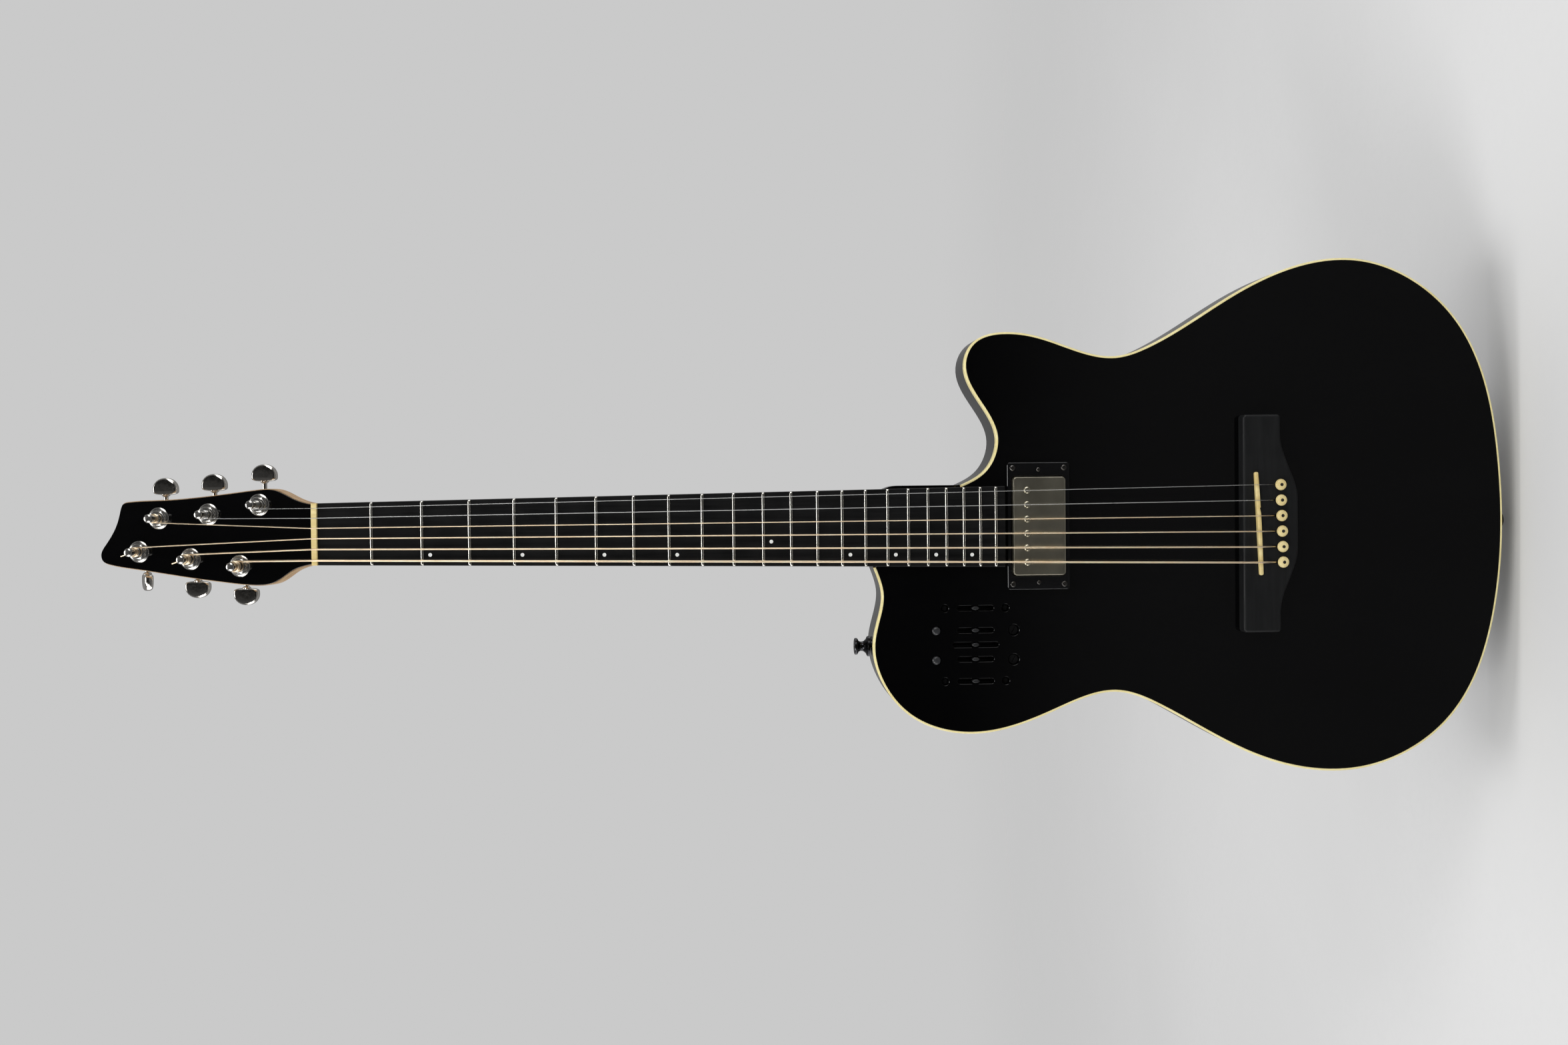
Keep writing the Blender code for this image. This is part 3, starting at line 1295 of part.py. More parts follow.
def make_pickup_poles():
    """Six pole screws in the keeper bar under the base plate."""
    seat = -PICKUP_HEIGHT - GAP
    bar = pickup_base_depth() + BASE_THICK + GAP
    pole = screw(POLE_RADIUS, seat - POLE_PROUD, seat, POLE_SHANK, bar + KEEPER_THICK / 2.0)
    poles = [moved(pole, x, 0.0, z) for x, z in pole_places()]
    made = add("pickup_poles", joined(poles), nickel(), BODY)
    end = POLE_PITCH * (len(STRING_DIAMETERS) / 2.0)
    z = PICKUP_UP + POLE_OFFSET
    keeper = box(-end, end, bar, bar + KEEPER_THICK, z - KEEPER_HALF, z + KEEPER_HALF)
    fuse(made, "keeper_bar", keeper, BODY)


# Preamp

def preamp_standoff(x, z):
    """A post from the circuit board to the top, with the screw that holds it there."""
    head = PREAMP_SCREW_RECESS
    base = head + PREAMP_SCREW_HEAD
    profile = [(PREAMP_SCREW_RADIUS * 0.7, head), (PREAMP_SCREW_RADIUS, head + GAP),
               (PREAMP_SCREW_RADIUS, base), (PREAMP_SCREW_SHANK, base), (PREAMP_SCREW_SHANK, CORE_FRONT),
               (STANDOFF_RADIUS, CORE_FRONT), (STANDOFF_RADIUS, BOARD_DROP + GAP)]
    return turned(profile, 12, (x, 0.0, z))


def make_preamp():
    """The circuit board with the slider cases, switches, trim pots and standoffs on it."""
    x0, x1, z0, z1 = cavity_box()
    e = CAVITY_CLEARANCE
    outline = rounded_rectangle(x0 + e, x1 - e, z0 + e, z1 - e, COVER_CORNER / 2.0)
    board = prism(outline, BOARD_DROP, BOARD_DROP + CIRCUIT_THICK)
    preamp = add("preamp", board, satin_black(), BODY)
    seat = BOARD_DROP + GAP
    shapes = []
    slots = []
    for x, travel in zip(SLOT_ACROSS, SLOT_TRAVEL):
        reach = travel + LEVER_STEM_LENGTH / 2.0 + GAP
        w = SLIDER_CASE_WIDTH / 2.0
        end = reach + SLIDER_CASE_END
        shapes.append(box(x - w, x + w, SLIDER_CASE_DROP, seat, SLOT_UP - end, SLOT_UP + end))
        w = LEVER_STEM_WIDTH / 2.0 + GAP
        deep = SLIDER_CASE_DROP + LEVER_BITE + GAP
        slots.append(box(x - w, x + w, TOP_THICK, deep, SLOT_UP - reach, SLOT_UP + reach))
    for x in BUTTON_ACROSS:
        w = SWITCH_CASE / 2.0
        top = BUTTON_LENGTH - BUTTON_PROUD + BUTTON_TRAVEL + GAP
        shapes.append(box(x - w, x + w, top, seat, BUTTON_UP - w, BUTTON_UP + w))
        shapes.append(rod(TRIM_RADIUS, TRIM_RECESS, seat, 12, (x, 0.0, TRIM_UP)))
    shapes += [preamp_standoff(x, z) for x, z in preamp_screw_places()]
    fuse(preamp, "preamp_parts", joined(shapes), BODY)
    cut(preamp, "slider_slots", joined(slots), BODY)


def ellipse(a, b, y, count):
    turn = [math.tau * i / count for i in range(count)]
    return [(a * math.cos(t), y, b * math.sin(t)) for t in turn]


def make_slider(index):
    """An oval cap on a thin stem, its origin on the top's surface where it slides."""
    cap_base = TOP_THICK - GAP * 2.0
    stem = (LEVER_STEM_WIDTH / 2.0, LEVER_STEM_LENGTH / 2.0)
    cap = (LEVER_WIDTH / 2.0, LEVER_LENGTH / 2.0)
    rings = [ellipse(cap[0] * 0.7, cap[1] * 0.8, -LEVER_PROUD, 12), ellipse(*cap, 0.0, 12),
             ellipse(*cap, cap_base, 12), ellipse(*stem, cap_base, 12),
             ellipse(*stem, SLIDER_CASE_DROP + LEVER_BITE, 12)]
    frame = BODY @ Matrix.Translation((SLOT_ACROSS[index], 0.0, SLOT_UP))
    add("slider_%d" % (index + 1), loft(rings), satin_black(), frame)


def make_button(index):
    r = BUTTON_RADIUS
    top = -BUTTON_PROUD
    profile = [(r, top + BUTTON_LENGTH), (r, top + 0.35 * r), (r * 0.85, top + 0.12 * r), (r * 0.4, top)]
    frame = BODY @ Matrix.Translation((BUTTON_ACROSS[index], 0.0, BUTTON_UP))
    add("push_button_%d" % (index + 1), turned(profile, 12), satin_black(), frame)


# Back and rim

def make_cover():
    """The preamp's cover plate, flush in the back, with its six screws."""
    x0, x1, z0, z1 = cavity_box()
    e = COVER_LEDGE
    outline = rounded_rectangle(x0 - e, x1 + e, z0 - e, z1 + e, COVER_CORNER)
    front = BODY_DEPTH - COVER_THICK
    cover = add("control_cover", prism(outline, front, BODY_DEPTH), satin_black(), BODY)
    end = BODY_DEPTH - COVER_SCREW_LENGTH
    shanks = rods_at(cover_screw_places(), COVER_SCREW_SHANK, end, front + COVER_THICK / 2.0)
    fuse(cover, "cover_screws", shanks, BODY)


def lid_hinge():
    """The lid's hinge line at the compartment's lower end."""
    return battery_limits(BATTERY_ROOM + LID_MARGIN)[2] + LID_THICK / 2.0


def make_battery_box():
    """A lined bay let into the back, with a flush rim, and the hinged lid in the rim's recess."""
    floor = battery_floor()
    bay = BATTERY_ROOM
    outer = bay + BATTERY_BOX_WALL
    shell = block(battery_limits(outer), floor - BATTERY_BOX_WALL, BODY_DEPTH)
    made = add("battery_box", shell, satin_black(), BODY)
    rim = block(battery_limits(outer + BATTERY_FLANGE), BODY_DEPTH - BATTERY_RIM_THICK, BODY_DEPTH)
    fuse(made, "bay_rim", rim, BODY)
    cut(made, "bay_room", block(battery_limits(bay), floor, BODY_DEPTH + MM), BODY)
    recess = block(battery_limits(bay + LID_MARGIN + GAP), BODY_DEPTH - LID_THICK - GAP, BODY_DEPTH + MM)
    cut(made, "lid_recess", recess, BODY)


def make_battery_lid():
    """A flat lid with a round hinge edge; its origin is on the hinge line."""
    x0, x1, z0, z1 = battery_limits(BATTERY_ROOM + LID_MARGIN)
    half = LID_THICK / 2.0
    hinge = lid_hinge()
    back = BODY_DEPTH - half
    section = [(half, z1 - hinge), (-half, z1 - hinge)]
    section += arc(0.0, 0.0, half, 180, 360, 4)
    rings = [[(x, y, z) for y, z in section] for x in (x0 - BATTERY_ACROSS, x1 - BATTERY_ACROSS)]
    frame = BODY @ Matrix.Translation((BATTERY_ACROSS, back, hinge))
    add("battery_lid", loft(rings), satin_black(), frame)


def make_battery():
    y0 = battery_floor() + GAP
    x0, x1, z0, z1 = battery_limits(0.0)
    top = z1 - TERMINAL_HEIGHT
    cell = add("battery", box(x0, x1, y0, y0 + BATTERY_TALL, z0, top), steel(), BODY)
    y = y0 + BATTERY_TALL / 2.0
    posts = [rod(TERMINAL_RADIUS, top - MM, z1, 10, (BATTERY_ACROSS + side * TERMINAL_PITCH / 2.0, y, 0.0), "Z")
             for side in (-1, 1)]
    fuse(cell, "terminals", joined(posts), BODY)


def make_jacks():
    face = rim_x() - PLATE_RECESS
    plate = add("jack_plate", rounded_bar(JACK_DEPTH, JACK_UP, PLATE_WIDTH, PLATE_LENGTH, PLATE_CORNER,
                                          face - PLATE_THICK, face), satin_black(), BODY)
    holes = [rod(JACK_BUSHING_RADIUS + GAP, face - RIM_WALL, face + MM, 12, (0.0, JACK_DEPTH, z), "X")
             for z in jack_ups()]
    cut(plate, "plate_holes", joined(holes), BODY)
    nut_in = face + GAP
    nut_out = nut_in + JACK_NUT_THICK
    case = face - PLATE_THICK - GAP
    end = face - JACK_LENGTH
    profile = [(JACK_BORE_RADIUS, end + JACK_END_WALL), (JACK_BORE_RADIUS, nut_out),
               (JACK_NUT_RADIUS, nut_out), (JACK_NUT_RADIUS, nut_in), (JACK_BUSHING_RADIUS, nut_in),
               (JACK_BUSHING_RADIUS, case), (JACK_CASE_RADIUS, case), (JACK_CASE_RADIUS, end)]
    for number, z in enumerate(jack_ups(), 1):
        shape = turned(profile, 12, (0.0, JACK_DEPTH, z), "X")
        add("output_jack_%d" % number, shape, nickel(), BODY)


def make_strap_buttons():
    """Two turned buttons on screws: one on the bass shoulder and one at the tail."""
    profile = [(STRAP_SCREW_RADIUS, -STRAP_SCREW_LENGTH), (STRAP_SCREW_RADIUS, GAP), (STRAP_BASE_RADIUS, GAP),
               (STRAP_BASE_RADIUS, STRAP_LENGTH * 0.16), (STRAP_WAIST_RADIUS, STRAP_LENGTH * 0.42),
               (STRAP_WAIST_RADIUS, STRAP_LENGTH * 0.66), (STRAP_HEAD_RADIUS, STRAP_LENGTH * 0.8),
               (STRAP_HEAD_RADIUS, STRAP_LENGTH)]
    shoulder = edge_up(STRAP_ACROSS)
    upper = turned([(r, shoulder + far) for r, far in profile], 12, (STRAP_ACROSS, JACK_DEPTH, 0.0), "Z")
    lower = turned([(r, tail_up() - far) for r, far in profile], 12, (0.0, JACK_DEPTH, 0.0), "Z")
    add("strap_button_1", upper, satin_black(), BODY)
    add("strap_button_2", lower, satin_black(), BODY)


def neck_plate_outline(grow):
    xs = [x for x, z in bolt_places()]
    zs = [z for x, z in bolt_places()]
    m = NECK_PLATE_MARGIN + grow
    return rounded_rectangle(min(xs) - m, max(xs) + m, min(zs) - m, max(zs) + m, NECK_PLATE_MARGIN)


def make_neck_plate():
    """A flush plate in the back with the four bolts that draw the tenon into its pocket."""
    front = BODY_DEPTH - NECK_PLATE_THICK
    plate = add("neck_plate", prism(neck_plate_outline(0.0), front, BODY_DEPTH), steel(), BODY)
    start = TENON_DEPTH + GAP - BOLT_GRIP
    bolts = rods_at(bolt_places(), BOLT_RADIUS, start, front + NECK_PLATE_THICK / 2.0)
    fuse(plate, "neck_bolts", bolts, BODY)


def main():
    clear_scene()
    make_core()
    make_top()
    make_binding()
    make_neck()
    make_head_veneer()
    make_truss_rod()
    make_fingerboard()
    make_frets()
    make_nut()
    make_bridge()
    make_saddle()
    make_pins()
    for index in range(len(STRING_DIAMETERS)):
        make_string(index)
        make_housing(index)
        make_post(index)
        make_key(index)
    print("least gap between windings, mm: %.2f" % (min(WRAP_GAPS) / MM))
    make_pickup_ring()
    make_pickup_cover()
    make_pickup_coils()
    make_pickup_poles()
    make_preamp()
    for index in range(len(SLOT_ACROSS)):
        make_slider(index)
    for index in range(len(BUTTON_ACROSS)):
        make_button(index)
    make_cover()
    make_battery_box()
    make_battery_lid()
    make_battery()
    make_jacks()
    make_strap_buttons()
    make_neck_plate()


main()
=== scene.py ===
# %% [markdown]
# An acoustic-electric guitar in gloss black, hung upright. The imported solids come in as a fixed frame, and
# every piece that shows is modelled again more finely in the same place, in metres. The long axis is Z, the
# face looks towards -Y and the cutaway is on the +X side.

# %% The frame
import bmesh
import bpy
import math
import numpy as np
from mathutils import Matrix, Vector


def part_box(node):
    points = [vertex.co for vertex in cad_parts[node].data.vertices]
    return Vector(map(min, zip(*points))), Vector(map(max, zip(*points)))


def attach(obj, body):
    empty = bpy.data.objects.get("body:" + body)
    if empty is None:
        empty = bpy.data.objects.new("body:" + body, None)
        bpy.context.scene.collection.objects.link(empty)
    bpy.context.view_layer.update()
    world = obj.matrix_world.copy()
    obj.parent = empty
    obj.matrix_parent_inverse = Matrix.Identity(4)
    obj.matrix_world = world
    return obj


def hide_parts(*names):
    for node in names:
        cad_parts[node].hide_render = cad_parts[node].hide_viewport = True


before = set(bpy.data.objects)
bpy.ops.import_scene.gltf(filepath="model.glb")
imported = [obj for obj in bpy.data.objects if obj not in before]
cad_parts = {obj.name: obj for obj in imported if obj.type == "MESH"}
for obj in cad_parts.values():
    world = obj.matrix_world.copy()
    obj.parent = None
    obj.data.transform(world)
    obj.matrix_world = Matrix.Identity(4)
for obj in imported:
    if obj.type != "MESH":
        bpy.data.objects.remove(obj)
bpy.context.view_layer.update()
METRES = 0.001
GAP = 0.3

# %% [markdown]
# A guitar has three sets of surfaces that tilt against each other: the body's flat top, the fingerboard and
# the headstock. Each gets a frame of its own, so that a height above the top or a depth behind the
# headstock can be written as a plain number. The origin is at the nut, on the fingerboard. Every size is
# in millimetres and becomes metres where a piece is made.

# %% Three tilted frames
SCALE_LENGTH = 648.0
NECK_TILT = math.radians(0.6)
HEAD_TILT = math.radians(10.0)
BOARD_THICK = 6.0
VENEER_THICK = 1.5
HEAD_THICK = 14.0
NUT_THICK = 4.9
TOP_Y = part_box("top_plate")[0].y / METRES
TOP_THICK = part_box("top_plate")[1].y / METRES - TOP_Y
BODY_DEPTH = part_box("body_core")[1].y / METRES - TOP_Y


def at(x, y, z, frame_of=None):
    """A frame shifted by millimetres, the body's own when none is named."""
    shift = Matrix.Translation((x * METRES, y * METRES, z * METRES))
    return (BODY if frame_of is None else frame_of) @ shift


def spot(frame_of, x, y, z):
    """A point of a frame, in metres."""
    return frame_of @ Vector((x * METRES, y * METRES, z * METRES))


NECK = Matrix.Rotation(-NECK_TILT, 4, "X")
HEAD = at(0.0, BOARD_THICK - VENEER_THICK, NUT_THICK, NECK) @ Matrix.Rotation(-HEAD_TILT, 4, "X")
BODY = at(0.0, TOP_Y, -SCALE_LENGTH * math.cos(NECK_TILT), Matrix.Identity(4))
print("body depth, mm:", round(BODY_DEPTH, 1))

# %% [markdown]
# The camera stands about a metre in front with a 35 mm lens, a little towards the treble side, rolled so
# that the headstock is at the left of the picture. Its place comes from the spacing of the frets in the
# photograph, which follows the twelfth root of two, so one known scale length fixes it.

# %% Camera
bpy.ops.object.camera_add(location=[c * METRES for c in (23.7, -1054.3, -276.3)],
    rotation=[math.radians(a) for a in (-15.959, 87.580, -104.926)])
camera = bpy.context.active_object
camera.name = "camera"
camera.data.sensor_width = 36.0
camera.data.lens = 35.0
camera.data.clip_start = 0.01
bpy.context.scene.camera = camera
print("camera at", [round(c, 3) for c in camera.location])

# %% [markdown]
# Three helpers do most of the modelling. `extruded` starts from a filled circle whose points are laid on an
# outline, extrudes that face and moves it to the next outline, again and again, which is how a box modeller
# makes a body, a neck or a button. `turned` spins a profile round an axis, the way a lathe makes a post or a
# washer. `carve` cuts with another shape by a Boolean that is applied at once.

# %% Helpers for outlines
def select_only(*pieces):
    """Leaves edit mode and selects the pieces; the first becomes the active one."""
    if bpy.context.object and bpy.context.object.mode == "EDIT":
        bpy.ops.object.mode_set(mode="OBJECT")
    bpy.ops.object.select_all(action="DESELECT")
    for piece in pieces:
        piece.select_set(True)
    if pieces:
        bpy.context.view_layer.objects.active = pieces[0]


def shaded(piece, angle=30.0):
    bpy.ops.object.shade_smooth_by_angle(angle=math.radians(angle))
    return piece


def changed(piece, kind, **settings):
    """Puts one modifier on the piece and applies it."""
    select_only(piece)
    change = piece.modifiers.new(kind.lower(), kind)
    for name, value in settings.items():
        setattr(change, name, value)
    bpy.ops.object.modifier_apply(modifier=change.name)


def in_metres(points):
    return [tuple(c * METRES for c in point) for point in points]


def ring_of(name, points, fill="NGON"):
    """A circle whose points are laid on an outline."""
    select_only()
    bpy.ops.mesh.primitive_circle_add(vertices=len(points), fill_type=fill)
    piece = bpy.context.active_object
    piece.name = name
    for vertex, point in zip(piece.data.vertices, points):
        vertex.co = point
    return piece


def move_to(points, targets):
    """Moves each selected point to its target; the selected points lie on the given ones."""
    mesh = bmesh.from_edit_mesh(bpy.context.edit_object.data)
    places = np.array(points)
    for vertex in mesh.verts:
        if vertex.select:
            nearest = int(np.argmin(((places - np.array(vertex.co)) ** 2).sum(axis=1)))
            vertex.co = targets[nearest]
    bmesh.update_edit_mesh(bpy.context.edit_object.data)


def finish(piece, place=None, angle=30.0):
    """Lays the piece in its frame, with its place in its mesh, and shades it smooth up to an angle."""
    select_only(piece)
    if place is not None:
        piece.matrix_world = place
        bpy.ops.object.transform_apply(location=True, rotation=True, scale=True)
    return shaded(piece, angle)


def close_up(piece, place, angle):
    """Turns the edited mesh's faces outwards and finishes it."""
    bpy.ops.mesh.normals_make_consistent(inside=False)
    bpy.ops.object.mode_set(mode="OBJECT")
    return finish(piece, place, angle)


def extruded(name, rings, place=None, angle=30.0):
    """A closed solid through rings of equal count, made by extruding the first one's face."""
    rings = [in_metres(ring) for ring in rings]
    piece = ring_of(name, rings[0])
    bpy.ops.object.mode_set(mode="EDIT")
    bpy.ops.mesh.select_all(action="SELECT")
    for here, there in zip(rings, rings[1:]):
        bpy.ops.mesh.extrude_region_move()
        move_to(here, there)
    bpy.ops.mesh.select_all(action="SELECT")
    return close_up(piece, place, angle)


def flat_rings(outline, steps):
    """The outline (x, z) repeated at each (inset, y) of steps."""
    return [[(x, y, z) for x, z in inset(outline, amount)] for amount, y in steps]


def turned(name, profile, place=None, steps=48, angle=30.0):
    """An open profile of (radius, distance) pairs spun round Y; ends on the axis close by themselves."""
    piece = ring_of(name, in_metres((r, y, 0.0) for r, y in profile), "NOTHING")
    bpy.ops.object.mode_set(mode="EDIT")
    bpy.ops.mesh.select_all(action="DESELECT")
    mesh = bmesh.from_edit_mesh(piece.data)
    mesh.verts.ensure_lookup_table()
    closing = mesh.edges.get((mesh.verts[0], mesh.verts[-1]))
    if profile[0][0] == profile[-1][0] == 0.0:
        closing.select_set(True)
        bmesh.update_edit_mesh(piece.data)
        bpy.ops.mesh.delete(type="EDGE")
    bpy.ops.mesh.select_all(action="SELECT")
    bpy.ops.mesh.spin(steps=steps, angle=math.tau, center=(0.0, 0.0, 0.0), axis=(0.0, 1.0, 0.0))
    bpy.ops.mesh.select_all(action="SELECT")
    bpy.ops.mesh.remove_doubles(threshold=METRES * METRES)
    return close_up(piece, place, angle)


def carve(piece, cutter, operation="DIFFERENCE", angle=30.0):
    """Cuts the piece with the cutter, or joins them, and throws the cutter away."""
    changed(piece, "BOOLEAN", operation=operation, solver="EXACT", object=cutter)
    bpy.data.objects.remove(cutter, do_unlink=True)
    return shaded(piece, angle)


def rounded(piece, width, segments=3, limit=35.0):
    """A bevel along the piece's sharp edges."""
    changed(piece, "BEVEL", width=width * METRES, segments=segments, limit_method="ANGLE",
        angle_limit=math.radians(limit))
    return shaded(piece)


def copied(piece, name, x, z):
    """A copy with a mesh of its own, shifted."""
    twin = piece.copy()
    twin.data = piece.data.copy()
    twin.name = name
    twin.data.transform(at(x, 0.0, z, Matrix.Identity(4)))
    bpy.context.scene.collection.objects.link(twin)
    return twin


def merged(name, pieces):
    """Several pieces joined into one object."""
    select_only(*pieces)
    bpy.ops.object.join()
    pieces[0].name = name
    return pieces[0]


def dress(piece, nodes, look, body="guitar"):
    """Evens a finished piece's shading, gives it its body and its material, and hides the imported solids it
    replaces.
    """
    changed(piece, "WEIGHTED_NORMAL", keep_sharp=True)
    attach(piece, body)
    if nodes:
        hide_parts(*nodes)
    piece.data.materials.clear()
    piece.data.materials.append(LOOKS[look])
    print(piece.name, "has", len(piece.data.polygons), "faces")


print("helpers are ready")

# %% [markdown]
# Outlines are short lists of measured points with a natural cubic spline through them, so that the body and
# the headstock run as smooth curves. `inset` moves a closed outline inwards, or outwards for a negative
# amount, and is what gives binding, bevels and rounded edges their even width.

# %% Outlines
def spline(knots, step):
    """Points every step or so along the natural cubic spline through the knots."""
    k = np.array(knots, dtype=float)
    chord = np.linalg.norm(np.diff(k, axis=0), axis=1)
    along = np.concatenate([[0.0], np.cumsum(chord)])
    count = len(k)
    system = np.eye(count)
    right = np.zeros_like(k)
    for i in range(1, count - 1):
        system[i, i - 1:i + 2] = chord[i - 1], 2.0 * (chord[i - 1] + chord[i]), chord[i]
        right[i] = 6.0 * ((k[i + 1] - k[i]) / chord[i] - (k[i] - k[i - 1]) / chord[i - 1])
    bend = np.linalg.solve(system, right)
    points = []
    for s in np.linspace(0.0, along[-1], int(along[-1] / step) + 1):
        j = min(int(np.searchsorted(along, s, side="right")) - 1, count - 2)
        a = (along[j + 1] - s) / chord[j]
        b = 1.0 - a
        curve = ((a ** 3 - a) * bend[j] + (b ** 3 - b) * bend[j + 1]) * chord[j] ** 2 / 6.0
        points.append(tuple(a * k[j] + b * k[j + 1] + curve))
    return points


def arc(centre_x, centre_z, radius, start, end, steps):
    """Points on an arc, angles in degrees."""
    turn = [math.radians(start + (end - start) * i / steps) for i in range(steps + 1)]
    return [(centre_x + radius * math.cos(t), centre_z + radius * math.sin(t)) for t in turn]


def inset(points, amount):
    """The closed outline moved inwards by amount, point for point."""
    if amount == 0.0:
        return list(points)
    p = np.array(points, dtype=float)
    q = np.roll(p, -1, axis=0)
    area = 0.5 * float((p[:, 0] * q[:, 1] - q[:, 0] * p[:, 1]).sum())
    side = 1.0 if area > 0.0 else -1.0
    moved = []
    for i in range(len(p)):
        back = Vector(p[i] - p[i - 1]).normalized()
        ahead = Vector(p[(i + 1) % len(p)] - p[i]).normalized()
        along = (back + ahead).normalized()
        stretch = max(along.dot(ahead), 0.5)
        moved.append((p[i][0] - along.y * side * amount / stretch,
            p[i][1] + along.x * side * amount / stretch))
    return moved


def rectangle(box, by=0.0, radius=0.0, steps=6):
    """A rectangle x0, x1, z0, z1 grown by an amount, with round corners if a radius is given."""
    x0, x1, z0, z1 = box[0] - by, box[1] + by, box[2] - by, box[3] + by
    if not radius:
        return [(x0, z0), (x1, z0), (x1, z1), (x0, z1)]
    corners = [(x1 - radius, z1 - radius, 0), (x0 + radius, z1 - radius, 90),
        (x0 + radius, z0 + radius, 180), (x1 - radius, z0 + radius, 270)]
    return [point for x, z, angle in corners for point in arc(x, z, radius, angle, angle + 90, steps)]


def around(x, z, half_x, half_z, radius=0.0, steps=6):
    return rectangle((x - half_x, x + half_x, z - half_z, z + half_z), 0.0, radius, steps)


BODY_KNOTS = [(27.6, 204.6), (37.6, 187.8), (60.9, 178.6), (93.3, 194.1), (113.0, 200.7),
    (126.7, 195.1), (133.8, 172.0), (129.6, 146.6), (116.7, 94.1), (123.9, 71.7), (164.7, 2.1),
    (183.2, -79.1), (147.1, -141.6), (42.0, -176.4), (-56.2, -174.0), (-137.8, -141.0), (-172.0, -80.5),
    (-163.4, -6.0), (-127.0, 63.4), (-115.7, 94.6), (-129.4, 143.4), (-143.3, 202.8), (-130.5, 241.1),
    (-107.9, 259.7), (-80.0, 265.8), (-46.5, 259.7), (-27.7, 265.0)]
HEAD_KNOTS = [(21.0, 0.0), (22.2, 6.0), (25.2, 14.0), (31.2, 28.0), (31.2, 39.2), (26.9, 78.2),
    (24.6, 113.6), (23.7, 135.5), (22.3, 140.4), (17.5, 142.6), (9.2, 145.0), (-6.5, 154.3),
    (-12.7, 157.7), (-17.8, 156.6), (-20.8, 150.5), (-24.2, 129.4), (-29.1, 96.9), (-33.6, 61.9),
    (-35.3, 43.0), (-33.4, 28.0), (-24.9, 14.0), (-22.2, 6.0), (-21.0, 0.0)]
HEEL_CORNER = 17.0
edge = spline(BODY_KNOTS, 3.0)
heel_top = edge[-1][1]
heel = [(-0.5 * HEEL_CORNER, heel_top)]
heel += arc(edge[0][0] - HEEL_CORNER, heel_top - HEEL_CORNER, HEEL_CORNER, 90, 0, 10)
body_outline = edge + heel
head_outline = spline(HEAD_KNOTS, 1.2)
print("body outline:", len(body_outline), "points; headstock:", len(head_outline))

# %% [markdown]
# Every finish is a small network of nodes. `add_node` makes one node, sets its named sockets and joins those
# that are given another node's output, so that a material reads from top to bottom like a recipe.

# %% Node helpers
def add_node(tree, kind, sockets=None, **settings):
    """A node with its sockets set; another node given as a value stands for its first output."""
    made = tree.nodes.new("ShaderNode" + kind)
    for name, value in settings.items():
        setattr(made, name, value)
    for name, value in (sockets or {}).items():
        if isinstance(value, bpy.types.Node):
            value = value.outputs[0]
        if isinstance(value, bpy.types.NodeSocket):
            tree.links.new(value, made.inputs[name])
        else:
            made.inputs[name].default_value = value
    return made


def ramp(tree, value, start, end, low, high, kind="LINEAR"):
    """Spreads a value's run from start to end over low to high."""
    return add_node(tree, "MapRange", {"Value": value, "From Min": start, "From Max": end,
        "To Min": low, "To Max": high}, interpolation_type=kind)


def noise(tree, here, scale, detail, **more):
    return add_node(tree, "TexNoise", {"Vector": here, "Scale": scale, "Detail": detail, **more})


SOCKET_KINDS = {1: "NodeSocketFloat", 3: "NodeSocketVector", 4: "NodeSocketColor"}


def new_group(name, inputs, outputs):
    """A shader group: inputs by name and first value, outputs by name. Gives its tree and both ends."""
    group = bpy.data.node_groups.new(name, "ShaderNodeTree")
    for label, value in {"Vector": (0.0, 0.0, 0.0), **inputs}.items():
        kind = SOCKET_KINDS[len(value) if isinstance(value, tuple) else 1]
        group.interface.new_socket(name=label, in_out="INPUT", socket_type=kind).default_value = value
    for label in outputs:
        kind = SOCKET_KINDS[4 if label == "Color" else 1]
        group.interface.new_socket(name=label, in_out="OUTPUT", socket_type=kind)
    return group, group.nodes.new("NodeGroupInput").outputs, group.nodes.new("NodeGroupOutput").inputs


def use_group(tree, group, sockets):
    return add_node(tree, "Group", sockets, node_tree=group)


def clouded(tree, here, scale, low, high):
    return use_group(tree, smudge, {"Vector": here, "Scale": scale, "Low": low, "High": high})


LOOKS = {}


def toned(name, dark, light, stretch, pores):
    """A material whose colour drifts between two tones: its tree, the piece's coordinates and the tone."""
    LOOKS[name] = bpy.data.materials.new(name)
    LOOKS[name].use_nodes = True
    tree = LOOKS[name].node_tree
    here = add_node(tree, "TexCoord").outputs["Object"]
    tone = use_group(tree, grain, {"Vector": here, "Stretch": stretch, "Pores": pores,
        "Dark": (*dark, 1.0), "Light": (*light, 1.0)})
    tree.links.new(tone.outputs["Color"], tree.nodes["Principled BSDF"].inputs["Base Color"])
    return tree, here, tone


def surface(tree, rough, height, strength, depth, **more):
    """Gives the Principled shader a roughness, a bump of some depth in metres, and what else is named."""
    shader = tree.nodes["Principled BSDF"]
    bump = add_node(tree, "Bump", {"Strength": strength, "Distance": depth, "Height": height})
    tree.links.new(rough.outputs[0], shader.inputs["Roughness"])
    tree.links.new(bump.outputs[0], shader.inputs["Normal"])
    for name, value in more.items():
        shader.inputs[name.replace("_", " ")].default_value = value


print("node helpers are ready")

# %% [markdown]
# Handling leaves soft cloudy marks on every polished thing. `smudge` is a noise spread between two values,
# and it drives roughness, so that a highlight is never perfectly even.

# %% Group: smudge
smudge, g_in, g_out = new_group("smudge", {"Scale": 40.0, "Low": 0.1, "High": 0.2}, ["Value"])
cloud = noise(smudge, g_in["Vector"], g_in["Scale"], 4.0, Roughness=0.6)
spread = ramp(smudge, cloud, 0.35, 0.65, g_in["Low"], g_in["High"])
smudge.links.new(spread.outputs[0], g_out["Value"])
print("smudge has", len(smudge.nodes), "nodes")

